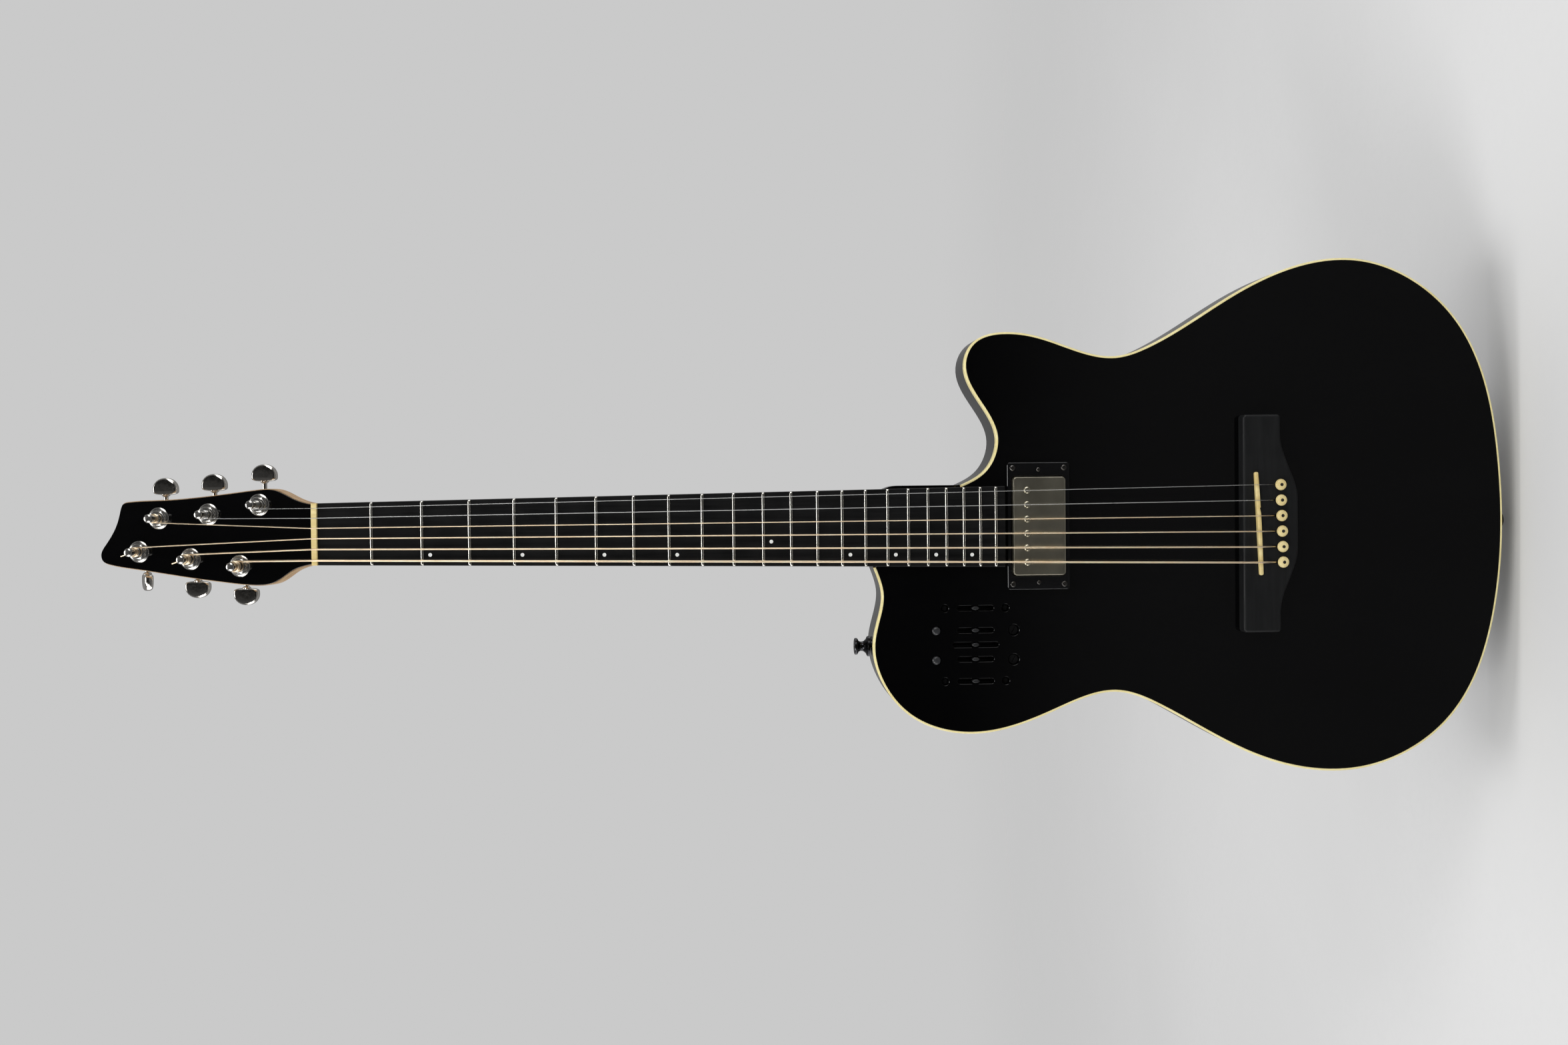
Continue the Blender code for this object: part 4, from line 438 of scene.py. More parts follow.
# %% [markdown]
# `grain` stretches a noise along one axis, as wood grows. It gives a colour between two tones and a height
# for the open pores.

# %% Group: grain
grain, g_in, g_out = new_group("grain", {"Stretch": (60.0, 60.0, 4.0), "Pores": 12.0,
    "Dark": (0.1, 0.05, 0.02, 1.0), "Light": (0.3, 0.15, 0.08, 1.0)}, ["Color", "Height"])
run = add_node(grain, "VectorMath", {0: g_in["Vector"], 1: g_in["Stretch"]}, operation="MULTIPLY")
bands = noise(grain, run, 1.0, 5.0, Roughness=0.62, Distortion=0.6)
fine = noise(grain, run, g_in["Pores"], 2.0)
pores = ramp(grain, fine, 0.36, 0.5, 0.55, 1.0)
tone = ramp(grain, bands, 0.32, 0.68, 0.0, 1.0)
shade = add_node(grain, "Math", {0: tone, 1: pores}, operation="MULTIPLY")
blend = add_node(grain, "Mix", {0: shade, 6: g_in["Dark"], 7: g_in["Light"]}, data_type="RGBA")
grain.links.new(blend.outputs[2], g_out["Color"])
grain.links.new(pores.outputs[0], g_out["Height"])
print("grain has", len(grain.nodes), "nodes")

# %% [markdown]
# `brushing` is the same idea for the fine lines left by a buffing wheel or by fingers sliding along a
# string.

# %% Group: brushing
brushing, g_in, g_out = new_group("brushing", {"Stretch": (40.0, 900.0, 900.0), "Low": 0.2,
    "High": 0.35}, ["Value", "Height"])
run = add_node(brushing, "VectorMath", {0: g_in["Vector"], 1: g_in["Stretch"]}, operation="MULTIPLY")
lines = noise(brushing, run, 1.0, 3.0, Roughness=0.7)
spread = ramp(brushing, lines, 0.35, 0.65, g_in["Low"], g_in["High"])
brushing.links.new(spread.outputs[0], g_out["Value"])
brushing.links.new(lines.outputs[0], g_out["Height"])
print("brushing has", len(brushing.nodes), "nodes")

# %% [markdown]
# A polished lacquer over black needs hardly any colour: it shows by its reflections. The base is nearly
# black, the roughness is low and cloudy, and very fine hairlines from polishing cloths break the highlight.

# %% Lacquers and cream plastics
def lacquer(name, colour, low, high, hairlines):
    dark = [c * 0.6 for c in colour]
    tree, here, _ = toned(name, dark, colour, (9.0, 9.0, 3.0), 30.0)
    cloth = use_group(tree, brushing, {"Vector": here, "Stretch": (260.0, 260.0, 2200.0)})
    surface(tree, clouded(tree, here, 24.0, low, high), cloth.outputs["Height"], hairlines, 0.00002)


def cream_plastic(name, dark, light, low, high):
    """A slightly aged, slightly streaky cream: one tone drifts into another along the piece."""
    tree, here, tone = toned(name, dark, light, (90.0, 160.0, 22.0), 5.0)
    surface(tree, clouded(tree, here, 300.0, low, high), tone.outputs["Height"], 0.15, 0.00005,
        Subsurface_Weight=0.08, Subsurface_Radius=(0.001, 0.0008, 0.0004))


lacquer("lacquer_black", (0.0016, 0.0016, 0.0018), 0.05, 0.1, 0.03)
lacquer("gloss_plastic", (0.005, 0.005, 0.0055), 0.1, 0.2, 0.3)
cream_plastic("binding_cream", (0.80, 0.69, 0.32), (0.93, 0.84, 0.46), 0.2, 0.32)
cream_plastic("bone_cream", (0.66, 0.50, 0.19), (0.84, 0.71, 0.36), 0.3, 0.45)
cream_plastic("pin_cream", (0.70, 0.56, 0.25), (0.82, 0.70, 0.36), 0.2, 0.32)
cream_plastic("pearl", (0.88, 0.9, 0.88), (0.98, 0.98, 0.95), 0.15, 0.3)
print("lacquers and creams are mixed")

# %% [markdown]
# Three woods, or what stands for wood: a dense charcoal fingerboard with hardly any figure, a bridge of the
# same family that is a little lighter, and a pale satin neck whose straight grain runs along Z.

# %% Woods
def timber(name, dark, light, stretch, pores, low, high, relief, shine=0.5):
    tree, here, figure = toned(name, dark, light, stretch, pores)
    surface(tree, clouded(tree, here, 55.0, low, high), figure.outputs["Height"], relief, 0.0001,
        Specular_IOR_Level=shine)


ALONG_NECK = (420.0, 420.0, 14.0)
ALONG_BRIDGE = (16.0, 300.0, 300.0)
timber("board_wood", (0.002, 0.002, 0.0022), (0.006, 0.0062, 0.0065), ALONG_NECK, 3.0, 0.38, 0.5, 0.25, 0.3)
timber("bridge_wood", (0.006, 0.0064, 0.0068), (0.0092, 0.0096, 0.0102), ALONG_BRIDGE, 3.0, 0.45, 0.58,
    0.15, 0.3)
timber("neck_wood", (0.42, 0.25, 0.12), (0.70, 0.49, 0.28), (260.0, 260.0, 6.0), 6.0, 0.35, 0.5, 0.3)
print("woods are planed")

# %% [markdown]
# Metals differ in colour, in how sharply they reflect and in the direction of their fine lines. Nickel is a
# warm silver, the pickup's cover is a brownish satin nickel, the wound strings are bronze. Their winding is
# a regular ripple along the string, so it is a wave on Z that feeds a Bump node.

# %% Metals
def metal(name, dark, light, stretch, low, high, relief=0.15):
    tree, here, _ = toned(name, dark, light, (70.0, 70.0, 70.0), 4.0)
    lines = use_group(tree, brushing, {"Vector": here, "Stretch": stretch, "Low": low, "High": high})
    surface(tree, lines, lines.outputs["Height"], relief, 0.00002, Metallic=1.0)
    return tree, here


def wound_metal(name, dark, light, pitch):
    """Bronze wire wound round a core: a ripple along the string over the usual brushing."""
    tree, here = metal(name, dark, light, (900.0, 900.0, 120.0), 0.28, 0.4)
    ripple = add_node(tree, "TexWave", {"Vector": here, "Scale": 1.0 / pitch / math.tau},
        wave_type="BANDS", bands_direction="Z", wave_profile="SIN")
    bump = add_node(tree, "Bump", {"Strength": 0.3, "Distance": pitch / 5.0, "Height": ripple.outputs["Fac"]})
    tree.links.new(bump.outputs["Normal"], tree.nodes["Principled BSDF"].inputs["Normal"])


EVEN = (500.0, 500.0, 500.0)
metal("fret_nickel", (0.62, 0.60, 0.54), (0.86, 0.84, 0.78), (60.0, 300.0, 300.0), 0.22, 0.28, 0.03)
metal("tuner_nickel", (0.71, 0.68, 0.63), (0.79, 0.76, 0.71), EVEN, 0.07, 0.15, 0.06)
metal("satin_nickel", (0.66, 0.64, 0.60), (0.76, 0.74, 0.70), EVEN, 0.18, 0.26, 0.04)
metal("plate_nickel", (0.62, 0.62, 0.60), (0.80, 0.80, 0.78), (900.0, 300.0, 60.0), 0.14, 0.26)
metal("cover_nickel", (0.60, 0.56, 0.44), (0.66, 0.62, 0.50), (30.0, 60.0, 60.0), 0.29, 0.36, 0.04)
metal("screw_dark", (0.09, 0.085, 0.08), (0.20, 0.19, 0.18), EVEN, 0.25, 0.4)
metal("strap_black", (0.02, 0.02, 0.022), (0.06, 0.06, 0.065), EVEN, 0.16, 0.3)
metal("plain_steel", (0.55, 0.55, 0.54), (0.62, 0.62, 0.61), (300.0, 300.0, 30.0), 0.26, 0.32, 0.03)
wound_metal("bronze", (0.96, 0.74, 0.50), (1.0, 0.86, 0.64), 0.42 * METRES)
print("metals are polished")

# %% [markdown]
# Moulded plastics carry a fine spark-eroded texture: a dense noise as bump, with a slightly uneven sheen.

# %% Moulded plastics
def moulded(name, dark, light, low, high, texture, relief=0.4):
    tree, here, _ = toned(name, dark, light, (60.0, 60.0, 60.0), 8.0)
    stipple = noise(tree, here, texture, 2.0)
    surface(tree, clouded(tree, here, 90.0, low, high), stipple, relief, 0.00006)


moulded("cover_plastic", (0.012, 0.012, 0.013), (0.026, 0.026, 0.028), 0.4, 0.55, 1800.0)
# Near-black for the preamp's parts and screw heads: their own dark plastic, darkened further as painted shade
# of the deep wells they sit in.
moulded("dark_plastic_and_painted_shade", (0.0015, 0.0015, 0.0016), (0.003, 0.003, 0.0033), 0.3, 0.42, 1800.0, 0.1)
moulded("slider_grey", (0.010, 0.0105, 0.011), (0.018, 0.0185, 0.02), 0.35, 0.5, 2600.0, 0.2)
moulded("button_grey", (0.016, 0.0165, 0.018), (0.032, 0.033, 0.036), 0.22, 0.36, 2600.0, 0.15)
moulded("dark_dot", (0.012, 0.010, 0.008), (0.03, 0.026, 0.02), 0.3, 0.45, 3000.0, 0.1)
moulded("circuit_green", (0.004, 0.02, 0.011), (0.01, 0.045, 0.024), 0.3, 0.45, 700.0, 0.3)
moulded("cell_wrap", (0.16, 0.11, 0.05), (0.30, 0.21, 0.10), 0.2, 0.34, 2200.0, 0.1)
print("plastics are moulded")

# %% [markdown]
# Cutters for the body. `block` is a straight cutter, `bore` a round one along any frame's Y axis, and
# `mouthed` is a cutter whose first edge flares out, so that the hole it leaves has a small polished lip
# that catches the light, as a routed slot in thick lacquer does.

# %% Cutters
ALONG_X = Matrix.Rotation(-math.pi / 2.0, 4, "Z")
ALONG_Z = Matrix.Rotation(math.pi / 2.0, 4, "X")


def stacked(name, outline, steps, place=BODY, angle=30.0):
    """A solid through the outline at each (inset, y) of steps."""
    return extruded(name, flat_rings(outline, steps), place, angle)


def block(outline, y0, y1, place=BODY, name="block"):
    return stacked(name, outline, [(0.0, y0), (0.0, y1)], place)


def bore(radius, y0, y1, place, name="bore"):
    return turned(name, [(0.0, y0), (radius, y0), (radius, y1), (0.0, y1)], place, 32)


def mouthed(outline, lip, y1, place=BODY):
    steps = [(-lip, -lip), (-lip, -0.15 * lip), (-0.35 * lip, 0.35 * lip), (0.0, lip), (0.0, y1)]
    return stacked("mouth", outline, steps, place)


def round_outline(x, z, radius):
    return arc(x, z, radius, 0.0, 351.0, 39)


def hexagon(radius):
    return arc(0.0, 0.0, radius, 30, 330, 5)


def capsule(x, z, half_long, radius):
    reach = half_long - radius
    return arc(x, z + reach, radius, 0, 180, 12) + arc(x, z - reach, radius, 180, 360, 12)


print("cutters are ready")

# %% [markdown]
# Sizes of what is let into the body, in millimetres as a maker would write them: the controls on the upper
# bout, the pickup with its ring, the bridge pins, the covers in the back and the sockets in the rim.

# %% Sizes of the fittings
NUT_WIDTH = 42.6
BOARD_END_WIDTH = 56.1
BOARD_LENGTH = 472.5
FRET_COUNT = 22
FRET_HEIGHT = 1.1
FRET_WIDTH = 2.2
BOARD_RADIUS = 406.0
NECK_JOINT = 383.0
HEEL_LEAD = 14.0
TENON_LENGTH = 87.0
TENON_DEPTH = 17.8
STRING_DIAMETERS = [0.305, 0.406, 0.61, 0.813, 1.067, 1.346]
NUT_SPAN = 35.8
SADDLE_SPAN = 54.0
NUT_ACTION = 0.5
SADDLE_RISE = 4.6
BASS_COMPENSATION = 2.6
BINDING_WIDTH = 1.6
BACK_ROUNDING = 12.0
CORE_FRONT = TOP_THICK + GAP
PICKUP_UP = 151.5
PICKUP_LENGTH = 68.6
PICKUP_WIDTH = 36.8
PICKUP_HEIGHT = 7.6
RING_LENGTH = 88.6
RING_WIDTH = 43.6
RING_HEIGHT = 3.4
SLOT_ACROSS = [-57.0, -72.5, -82.6, -92.7, -108.1]
SLOT_TRAVEL = [9.8, 9.8, 13.2, 9.8, 9.8]
SLOT_UP = 195.7
SLOT_WIDTH = 3.4
BUTTON_ACROSS = [-72.6, -93.2]
BUTTON_UP = 223.3
TRIM_UP = 168.9
TRIM_RADIUS = 3.6
PREAMP_SCREWS = [(x, z) for x in (SLOT_ACROSS[0], SLOT_ACROSS[-1]) for z in (217.2, 174.6)]
CAVITY = (SLOT_ACROSS[-1] - 6.0, SLOT_ACROSS[0] + 6.0, TRIM_UP - 6.0, BUTTON_UP + 6.0)
COVER_LEDGE = 5.6
COVER_CORNER = 8.0
COVER_THICK = 1.8
BATTERY_ACROSS = -8.0
BATTERY = (BATTERY_ACROSS - 13.25, BATTERY_ACROSS + 13.25, 50.75, 99.25)
BATTERY_FLOOR = BODY_DEPTH - 20.9
LID_THICK = 2.2
JACK_DEPTH = 25.0
JACK_UPS = [-75.5, -54.5]
PLATE_RECESS = 2.6
BOLT_BOX = (-11.0, 11.0, 199.0, 247.0)
BOLTS = [(x, z) for x in BOLT_BOX[:2] for z in (247.0, 199.0)]
skin = inset(body_outline, -BINDING_WIDTH)
RIM_X = max(x for x, z in skin)
TAIL_UP = min(z for x, z in skin)
print("rim at", round(RIM_X, 1), "tail at", round(TAIL_UP, 1))

# %% [markdown]
# The board narrows towards the nut and is cambered, and the strings fan out from nut to saddle. Strings at
# the nut have even room between them, whatever their thickness; at the saddle their centres are even.

# %% Strings across nut and saddle
def fret_distance(number):
    return SCALE_LENGTH * (1.0 - 2.0 ** (-number / 12.0))


def board_width(distance):
    return NUT_WIDTH + (BOARD_END_WIDTH - NUT_WIDTH) * distance / BOARD_LENGTH


def board_drop(x):
    """How far the cambered board lies below its crown at x."""
    return BOARD_RADIUS - math.sqrt(BOARD_RADIUS ** 2 - x ** 2)


pairs = [(a + b) / 2.0 for a, b in zip(STRING_DIAMETERS, STRING_DIAMETERS[1:])]
room = (NUT_SPAN - sum(pairs)) / len(pairs)
NUT_X = [NUT_SPAN / 2.0]
for width in pairs:
    NUT_X.append(NUT_X[-1] - room - width)
SADDLE_X = [SADDLE_SPAN * (0.5 - i / 5.0) for i in range(6)]


def pin_up(x):
    """Height of a bridge pin's axis above the saddle line."""
    return -(16.9 + 1.6 * (0.5 - x / SADDLE_SPAN))


print("strings at the nut, mm:", [round(x, 1) for x in NUT_X])

# %% [markdown]
# The body starts from its outline and is extruded to the back, where the last rings draw in along a quarter
# circle. Pockets are then cut for everything that sits or moves in it.

# %% Body shell
body_steps = [(0.5, CORE_FRONT), (0.12, CORE_FRONT + 0.12), (0.0, CORE_FRONT + 0.5),
    (0.0, 0.5 * BODY_DEPTH), (0.0, BODY_DEPTH - BACK_ROUNDING)]
for t in [math.pi / 2.0 * i / 12 for i in range(1, 13)]:
    body_steps.append((BACK_ROUNDING * (1.0 - math.cos(t)), BODY_DEPTH - BACK_ROUNDING * (1.0 - math.sin(t))))
body = stacked("body_shell", skin, body_steps)
print("body shell has", len(body.data.polygons), "faces")

# %% [markdown]
# The neck pocket runs out over the shoulder and on the cutaway side, which is what leaves the heel free.

# %% Pockets in the body
def neck_pocket():
    end = NECK_JOINT + TENON_LENGTH + GAP
    opened = SCALE_LENGTH - BODY_KNOTS[0][1]
    start = NECK_JOINT - 2.0 * HEEL_LEAD
    half_end = board_width(end) / 2.0 + GAP
    beyond = HEEL_CORNER + half_end
    outline = [(-half_end, -end), (half_end, -end), (board_width(opened) / 2.0 + GAP, -opened),
        (beyond, -opened), (beyond, -start), (-board_width(start) / 2.0 - GAP, -start)]
    return block(outline, -BOARD_THICK, BOARD_THICK + TENON_DEPTH + 2.0 * GAP, NECK)


def battery_outline(margin):
    return rectangle(BATTERY, margin, 1.5)


def rim_plate(name, width, length, radius, x0, x1, steps=8):
    """A flat plate or recess on the treble rim, its outline in Y and Z."""
    outline = around(JACK_DEPTH, sum(JACK_UPS) / 2.0, width / 2.0, length / 2.0, radius, steps)
    return extruded(name, [[(x, a, b) for a, b in outline] for x in (x0, x1)], BODY)


carve(body, neck_pocket())
well = around(0.0, PICKUP_UP, 34.9, 19.0)
ears = around(0.0, PICKUP_UP, 42.3, 7.0)
pins_well = rectangle((-31.0, 31.0, pin_up(-31.0) - 4.0, pin_up(31.0) + 8.0))
plate_outline = rectangle(BOLT_BOX, 6.0, 6.0, 10)
OUT = BODY_DEPTH + 1.0
cavity_wall = rectangle(CAVITY, 0.0, COVER_CORNER / 2.0)
cover_seat = rectangle(CAVITY, COVER_LEDGE + GAP, COVER_CORNER, 10)
wells = [(well, -1.0, 22.0), (ears, -2.0, 21.0), (pins_well, 1.0, 26.0), (cavity_wall, 1.0, OUT)]
wells += [(cover_seat, BODY_DEPTH - COVER_THICK - GAP, OUT), (battery_outline(3.3), BATTERY_FLOOR - 2.1, OUT)]
wells.append((battery_outline(7.3), BODY_DEPTH - 3.9, OUT + 1.0))
for outline, start, end in wells:
    carve(body, block(outline, start, end))
face = RIM_X - PLATE_RECESS
carve(body, rim_plate("jack_recess", 20.6, 45.6, 4.0, face - 1.9, RIM_X + 15.0))
for z in JACK_UPS:
    carve(body, bore(7.3, face - 27.3, face, at(0.0, JACK_DEPTH, z) @ ALONG_X))
carve(body, block(inset(plate_outline, -GAP), BODY_DEPTH - 1.8, OUT))
dress(body, ["body_core"], "lacquer_black")

# %% [markdown]
# The top is a plate of its own inside the binding. Slots, button holes, the two trim wells, the pickup's
# window and the pin holes are cut through it; the slots, button holes and trim wells have a softly broken
# edge.

# %% Top plate
top = stacked("top_board", body_outline, [(0.15, 0.0), (0.0, 0.15), (0.0, TOP_THICK)])
carve(top, neck_pocket())
carve(top, block(well, -1.0, TOP_THICK + 1.0))
carve(top, block(ears, -2.0, TOP_THICK + 2.0))
LIP = 0.45
for x, travel in zip(SLOT_ACROSS, SLOT_TRAVEL):
    half = travel + 2.6 + LIP
    carve(top, mouthed(capsule(x, SLOT_UP, half, SLOT_WIDTH / 2.0), LIP, TOP_THICK + 1.0))
for x in BUTTON_ACROSS:
    carve(top, mouthed(round_outline(x, BUTTON_UP, 3.3), LIP, TOP_THICK + 1.0))
    carve(top, mouthed(round_outline(x, TRIM_UP, TRIM_RADIUS + GAP), LIP, TOP_THICK + 1.0))
for x, z in PREAMP_SCREWS:
    carve(top, mouthed(round_outline(x, z, 2.6), LIP, 3.8))
    carve(top, bore(1.4, 3.0, TOP_THICK + 1.0, at(x, 0.0, z)))
for x in SADDLE_X:
    carve(top, bore(2.7, -1.0, TOP_THICK + 1.0, at(x, 0.0, pin_up(x))))
dress(top, ["top_plate"], "lacquer_black")

# %% [markdown]
# The binding follows the body's front edge from the neck round to the neck again. Its section is a small
# rectangle with a rounded outer corner; the first one is filled and extruded from point to point of the
# edge.

# %% Binding
BINDING_PROFILE = [(0.8, 0.0), (0.4, 0.1), (0.12, 0.38), (0.0, 0.8), (0.0, TOP_THICK)]
lines = [(inset(body_outline, -GAP / 2.0), 0.0)]
lines += [(inset(skin, short), y) for short, y in BINDING_PROFILE]
lines.append((lines[0][0], TOP_THICK))
rings = [[(line[i][0], y, line[i][1]) for line, y in lines] for i in range(len(edge))]
binding = extruded("edge_binding", rings, BODY)
dress(binding, ["binding"], "binding_cream")

# %% [markdown]
# The neck is a row of half-round sections that grow a little deeper towards the heel. Past the nut the
# sections go on, keeping behind the tilted face, until they run out into the headstock's back. A tenon and
# the headstock's slab are joined on.

# %% Neck
NECK_SHOULDER = 0.75
DEPTH_AT_NUT = 14.6
DEPTH_AT_HEEL = 17.2
RUN_OUT = 22.0


def neck_ring(up):
    """The half-round section at a height up along the neck, the nut's front edge being zero."""
    past = max(up - NUT_THICK, 0.0)
    half = board_width(-min(up, NUT_THICK)) / 2.0 - 0.02 * past
    share = min(max(-up / NECK_JOINT, 0.0), 1.0)
    depth = DEPTH_AT_NUT + (DEPTH_AT_HEEL - DEPTH_AT_NUT) * share
    front = BOARD_THICK + GAP + past * math.tan(HEAD_TILT)
    back = BOARD_THICK + GAP + depth
    turn = [math.pi * i / 36 for i in range(37)]
    return [(half * math.cos(t), front + (back - front) * math.sin(t) ** NECK_SHOULDER, up) for t in turn]


stations = [-NECK_JOINT + HEEL_LEAD / 2.0, -300.0, -200.0, -100.0, -20.0, 0.0, NUT_THICK]
stations += [NUT_THICK + RUN_OUT * i / 5.0 for i in range(1, 5)]
neck = extruded("neck_shaft", [neck_ring(up) for up in stations], NECK)
start = NECK_JOINT - HEEL_LEAD
end = NECK_JOINT + TENON_LENGTH
a = board_width(start) / 2.0
b = board_width(end) / 2.0
tenon_outline = [(-b, -end), (b, -end), (a, -start), (-a, -start)]
tenon = block(tenon_outline, BOARD_THICK + GAP, BOARD_THICK + GAP + TENON_DEPTH, NECK)
carve(neck, rounded(tenon, 0.8, 3), "UNION")
slab_steps = [(0.0, VENEER_THICK + 0.05), (0.0, HEAD_THICK - 1.4), (0.2, HEAD_THICK - 0.7),
    (0.6, HEAD_THICK - 0.2), (1.3, HEAD_THICK)]
carve(neck, stacked("head_slab", head_outline, slab_steps, HEAD), "UNION")
print("neck has", len(neck.data.polygons), "faces")

# %% [markdown]
# Each tuner's post passes through the headstock in a bored hole, which is drilled through the slab and the
# veneer alike. The veneer's edge is rubbed through all round, so that a pale line of wood shows beside it.

# %% Headstock
POST_X = [20.6, 14.3, 11.9, -11.4, -16.6, -21.6]
POST_ALONG = [38.6, 76.2, 113.2, 128.4, 89.9, 53.4]
POST_HOLE = 5.2
veneer_steps = [(0.85, 0.0), (0.65, 0.1), (0.55, 0.3), (0.55, VENEER_THICK)]
veneer = stacked("head_face", head_outline, veneer_steps, HEAD)
for x, z in zip(POST_X, POST_ALONG):
    carve(neck, bore(POST_HOLE, 0.0, HEAD_THICK + 1.0, at(x, 0.0, z, HEAD)))
    carve(veneer, bore(POST_HOLE, -1.0, VENEER_THICK + 1.0, at(x, 0.0, z, HEAD)))
dress(neck, ["neck"], "neck_wood")
dress(veneer, ["head_veneer"], "lacquer_black")

# %% [markdown]
# The fingerboard is one cambered taper with its playing edges softly rolled.

# %% Fingerboard
def board_ring(up, shrink):
    half = board_width(-up) / 2.0 - shrink
    roll = 0.5
    xs = np.linspace(-(half - roll), half - roll, 25)
    crown = [(x, board_drop(x) + shrink, up) for x in xs]
    right = [(half - roll + roll * math.sin(t), board_drop(half) + roll * (1.0 - math.cos(t)) + shrink,
        up) for t in (0.5, 1.0, math.pi / 2.0)]
    left = [(-x, y, z) for x, y, z in reversed(right)]
    return left + crown + right + [(half, BOARD_THICK, up), (-half, BOARD_THICK, up)]


board_ends = [(0.0, 0.15), (-0.15, 0.0), (0.25 - BOARD_LENGTH, 0.0), (-BOARD_LENGTH, 0.25)]
board = extruded("finger_board", [board_ring(up, shrink) for up, shrink in board_ends], NECK)
dress(board, ["fingerboard"], "board_wood")

# %% [markdown]
# A fret is wire with an arched crown. Each one follows the camber, is a little longer than the last, and has
# its ends filed down at a slant, so rings of one half circle are led from end to end.

# %% Frets
def fret_rings(number):
    """Arched sections from one end of a fret to the other."""
    up = -fret_distance(number)
    half = board_width(-up) / 2.0 - 0.25
    turn = [math.pi * i / 10 for i in range(11)]
    rings = []
    slant = [(1.0, 0.25), (0.99, 0.7), (0.97, 0.93), (0.955, 1.0)]
    middle = [(s, 1.0) for s in np.linspace(0.94, -0.94, 15)]
    for share, tall in slant + middle + [(-s, tall) for s, tall in reversed(slant)]:
        x = half * share
        foot = board_drop(x) + 0.1
        rings.append([(x, foot - (FRET_HEIGHT + 0.1) * tall * math.sin(t) ** 0.8,
            up + FRET_WIDTH / 2.0 * math.cos(t)) for t in turn])
    return rings


crowns = [extruded("fret_%d" % n, fret_rings(n), NECK, 60.0) for n in range(1, FRET_COUNT + 1)]
frets = merged("fret_wires", crowns)
dress(frets, ["frets"], "fret_nickel")

# %% [markdown]
# Nine small pearl dots mark positions. They sit towards the bass edge, between the two lowest strings, and
# the one at the octave is a string further in.

# %% Position dots
DOT_FRETS = [3, 5, 7, 9, 12, 15, 17, 19, 21]
DOT_RADIUS = 1.3
DOT_BEHIND_FRET = 5.4


def string_x(index, distance):
    """Where a string lies across the board at a distance from the nut."""
    first = NUT_X[index]
    return first + (SADDLE_X[index] - first) * distance / SCALE_LENGTH


def dot(number):
    distance = fret_distance(number - 1) + DOT_BEHIND_FRET
    pair = (3, 4) if number == 12 else (4, 5)
    x = (string_x(pair[0], distance) + string_x(pair[1], distance)) / 2.0
    lean = Matrix.Rotation(math.asin(x / BOARD_RADIUS), 4, "Z")
    profile = [(0.0, -0.02), (DOT_RADIUS * 0.16, -0.03), (DOT_RADIUS * 0.3, -0.06),
        (DOT_RADIUS * 0.8, -0.05), (DOT_RADIUS, -0.01), (DOT_RADIUS, 0.2), (0.0, 0.2)]
    return turned("dot_%d" % number, profile, at(x, board_drop(x), -distance, NECK) @ lean, 28)


dots = merged("position_dots", [dot(n) for n in DOT_FRETS])
dress(dots, [], "pearl")

# %% [markdown]
# The nut is bone-coloured, cambered like the board and a little higher, and each string has its own slot
# with a round floor as wide as the string.

# %% Nut
def nut_rings():
    rise = FRET_HEIGHT + NUT_ACTION + 0.35
    rings = []
    ends = [(GAP, 0.35), (GAP + 0.1, 0.12), (GAP + 0.4, 0.0), (NUT_THICK - 1.5, 0.0),
        (NUT_THICK - 0.8, 0.3), (NUT_THICK - 2.0 * GAP, 0.9)]
    for up, short in ends:
        xs = np.linspace(-NUT_WIDTH / 2.0 + 0.4, NUT_WIDTH / 2.0 - 0.4, 31)
        crown = [(x, board_drop(x) - rise + short, up) for x in xs]
        low = board_drop(NUT_WIDTH / 2.0) - rise + short + 0.45
        half = NUT_WIDTH / 2.0
        rings.append([(-half, BOARD_THICK, up), (-half, low, up)] + crown +
            [(half, low, up), (half, BOARD_THICK, up)])
    return rings


def string_slot(index):
    """A round-bottomed slot for a string over the nut, open upwards."""
    x = NUT_X[index]
    radius = STRING_DIAMETERS[index] / 2.0 + 0.08
    centre = board_drop(x) - FRET_HEIGHT - NUT_ACTION - STRING_DIAMETERS[index] / 2.0
    floor = [(x + radius * math.cos(t), centre + radius * math.sin(t)) for t in np.linspace(0.0, math.pi, 9)]
    outline = floor + [(x - 1.15 * radius, centre - 3.0), (x + 1.15 * radius, centre - 3.0)]
    return extruded("slot", [[(a, b, up) for a, b in outline] for up in (-1.0, NUT_THICK + 1.0)], NECK)


nut = extruded("bone_nut", nut_rings(), NECK)
for index in range(6):
    carve(nut, string_slot(index))
dress(nut, ["nut"], "bone_cream")

# %% [markdown]
# The bridge has a straight front, square ends and a belly that swells behind the pins. Its top edges are
# rounded in four steps. The saddle's slot, the pin holes and the slanted ramps that lead each string up
# from its hole are cut into it.

# %% Bridge
BRIDGE_THICK = 10.0
BRIDGE_FRONT = 9.0
BRIDGE_BACK = BRIDGE_FRONT - 26.5
BRIDGE_HALF = 76.0
BRIDGE_CORNER = 2.3


def bridge_outline():
    r = BRIDGE_CORNER
    x = BRIDGE_HALF - r
    outline = arc(x, BRIDGE_FRONT - r, r, 0, 90, 4) + arc(-x, BRIDGE_FRONT - r, r, 90, 180, 4)
    outline += arc(-x, BRIDGE_BACK + r, r, 180, 270, 4)
    for x in np.linspace(-62.0, 62.0, 49):
        share = min((62.0 - abs(x)) / 45.0, 1.0)
        outline.append((x, BRIDGE_BACK - 12.4 * share * share * (3.0 - 2.0 * share)))
    return outline + arc(BRIDGE_HALF - r, BRIDGE_BACK + r, r, 270, 360, 4)


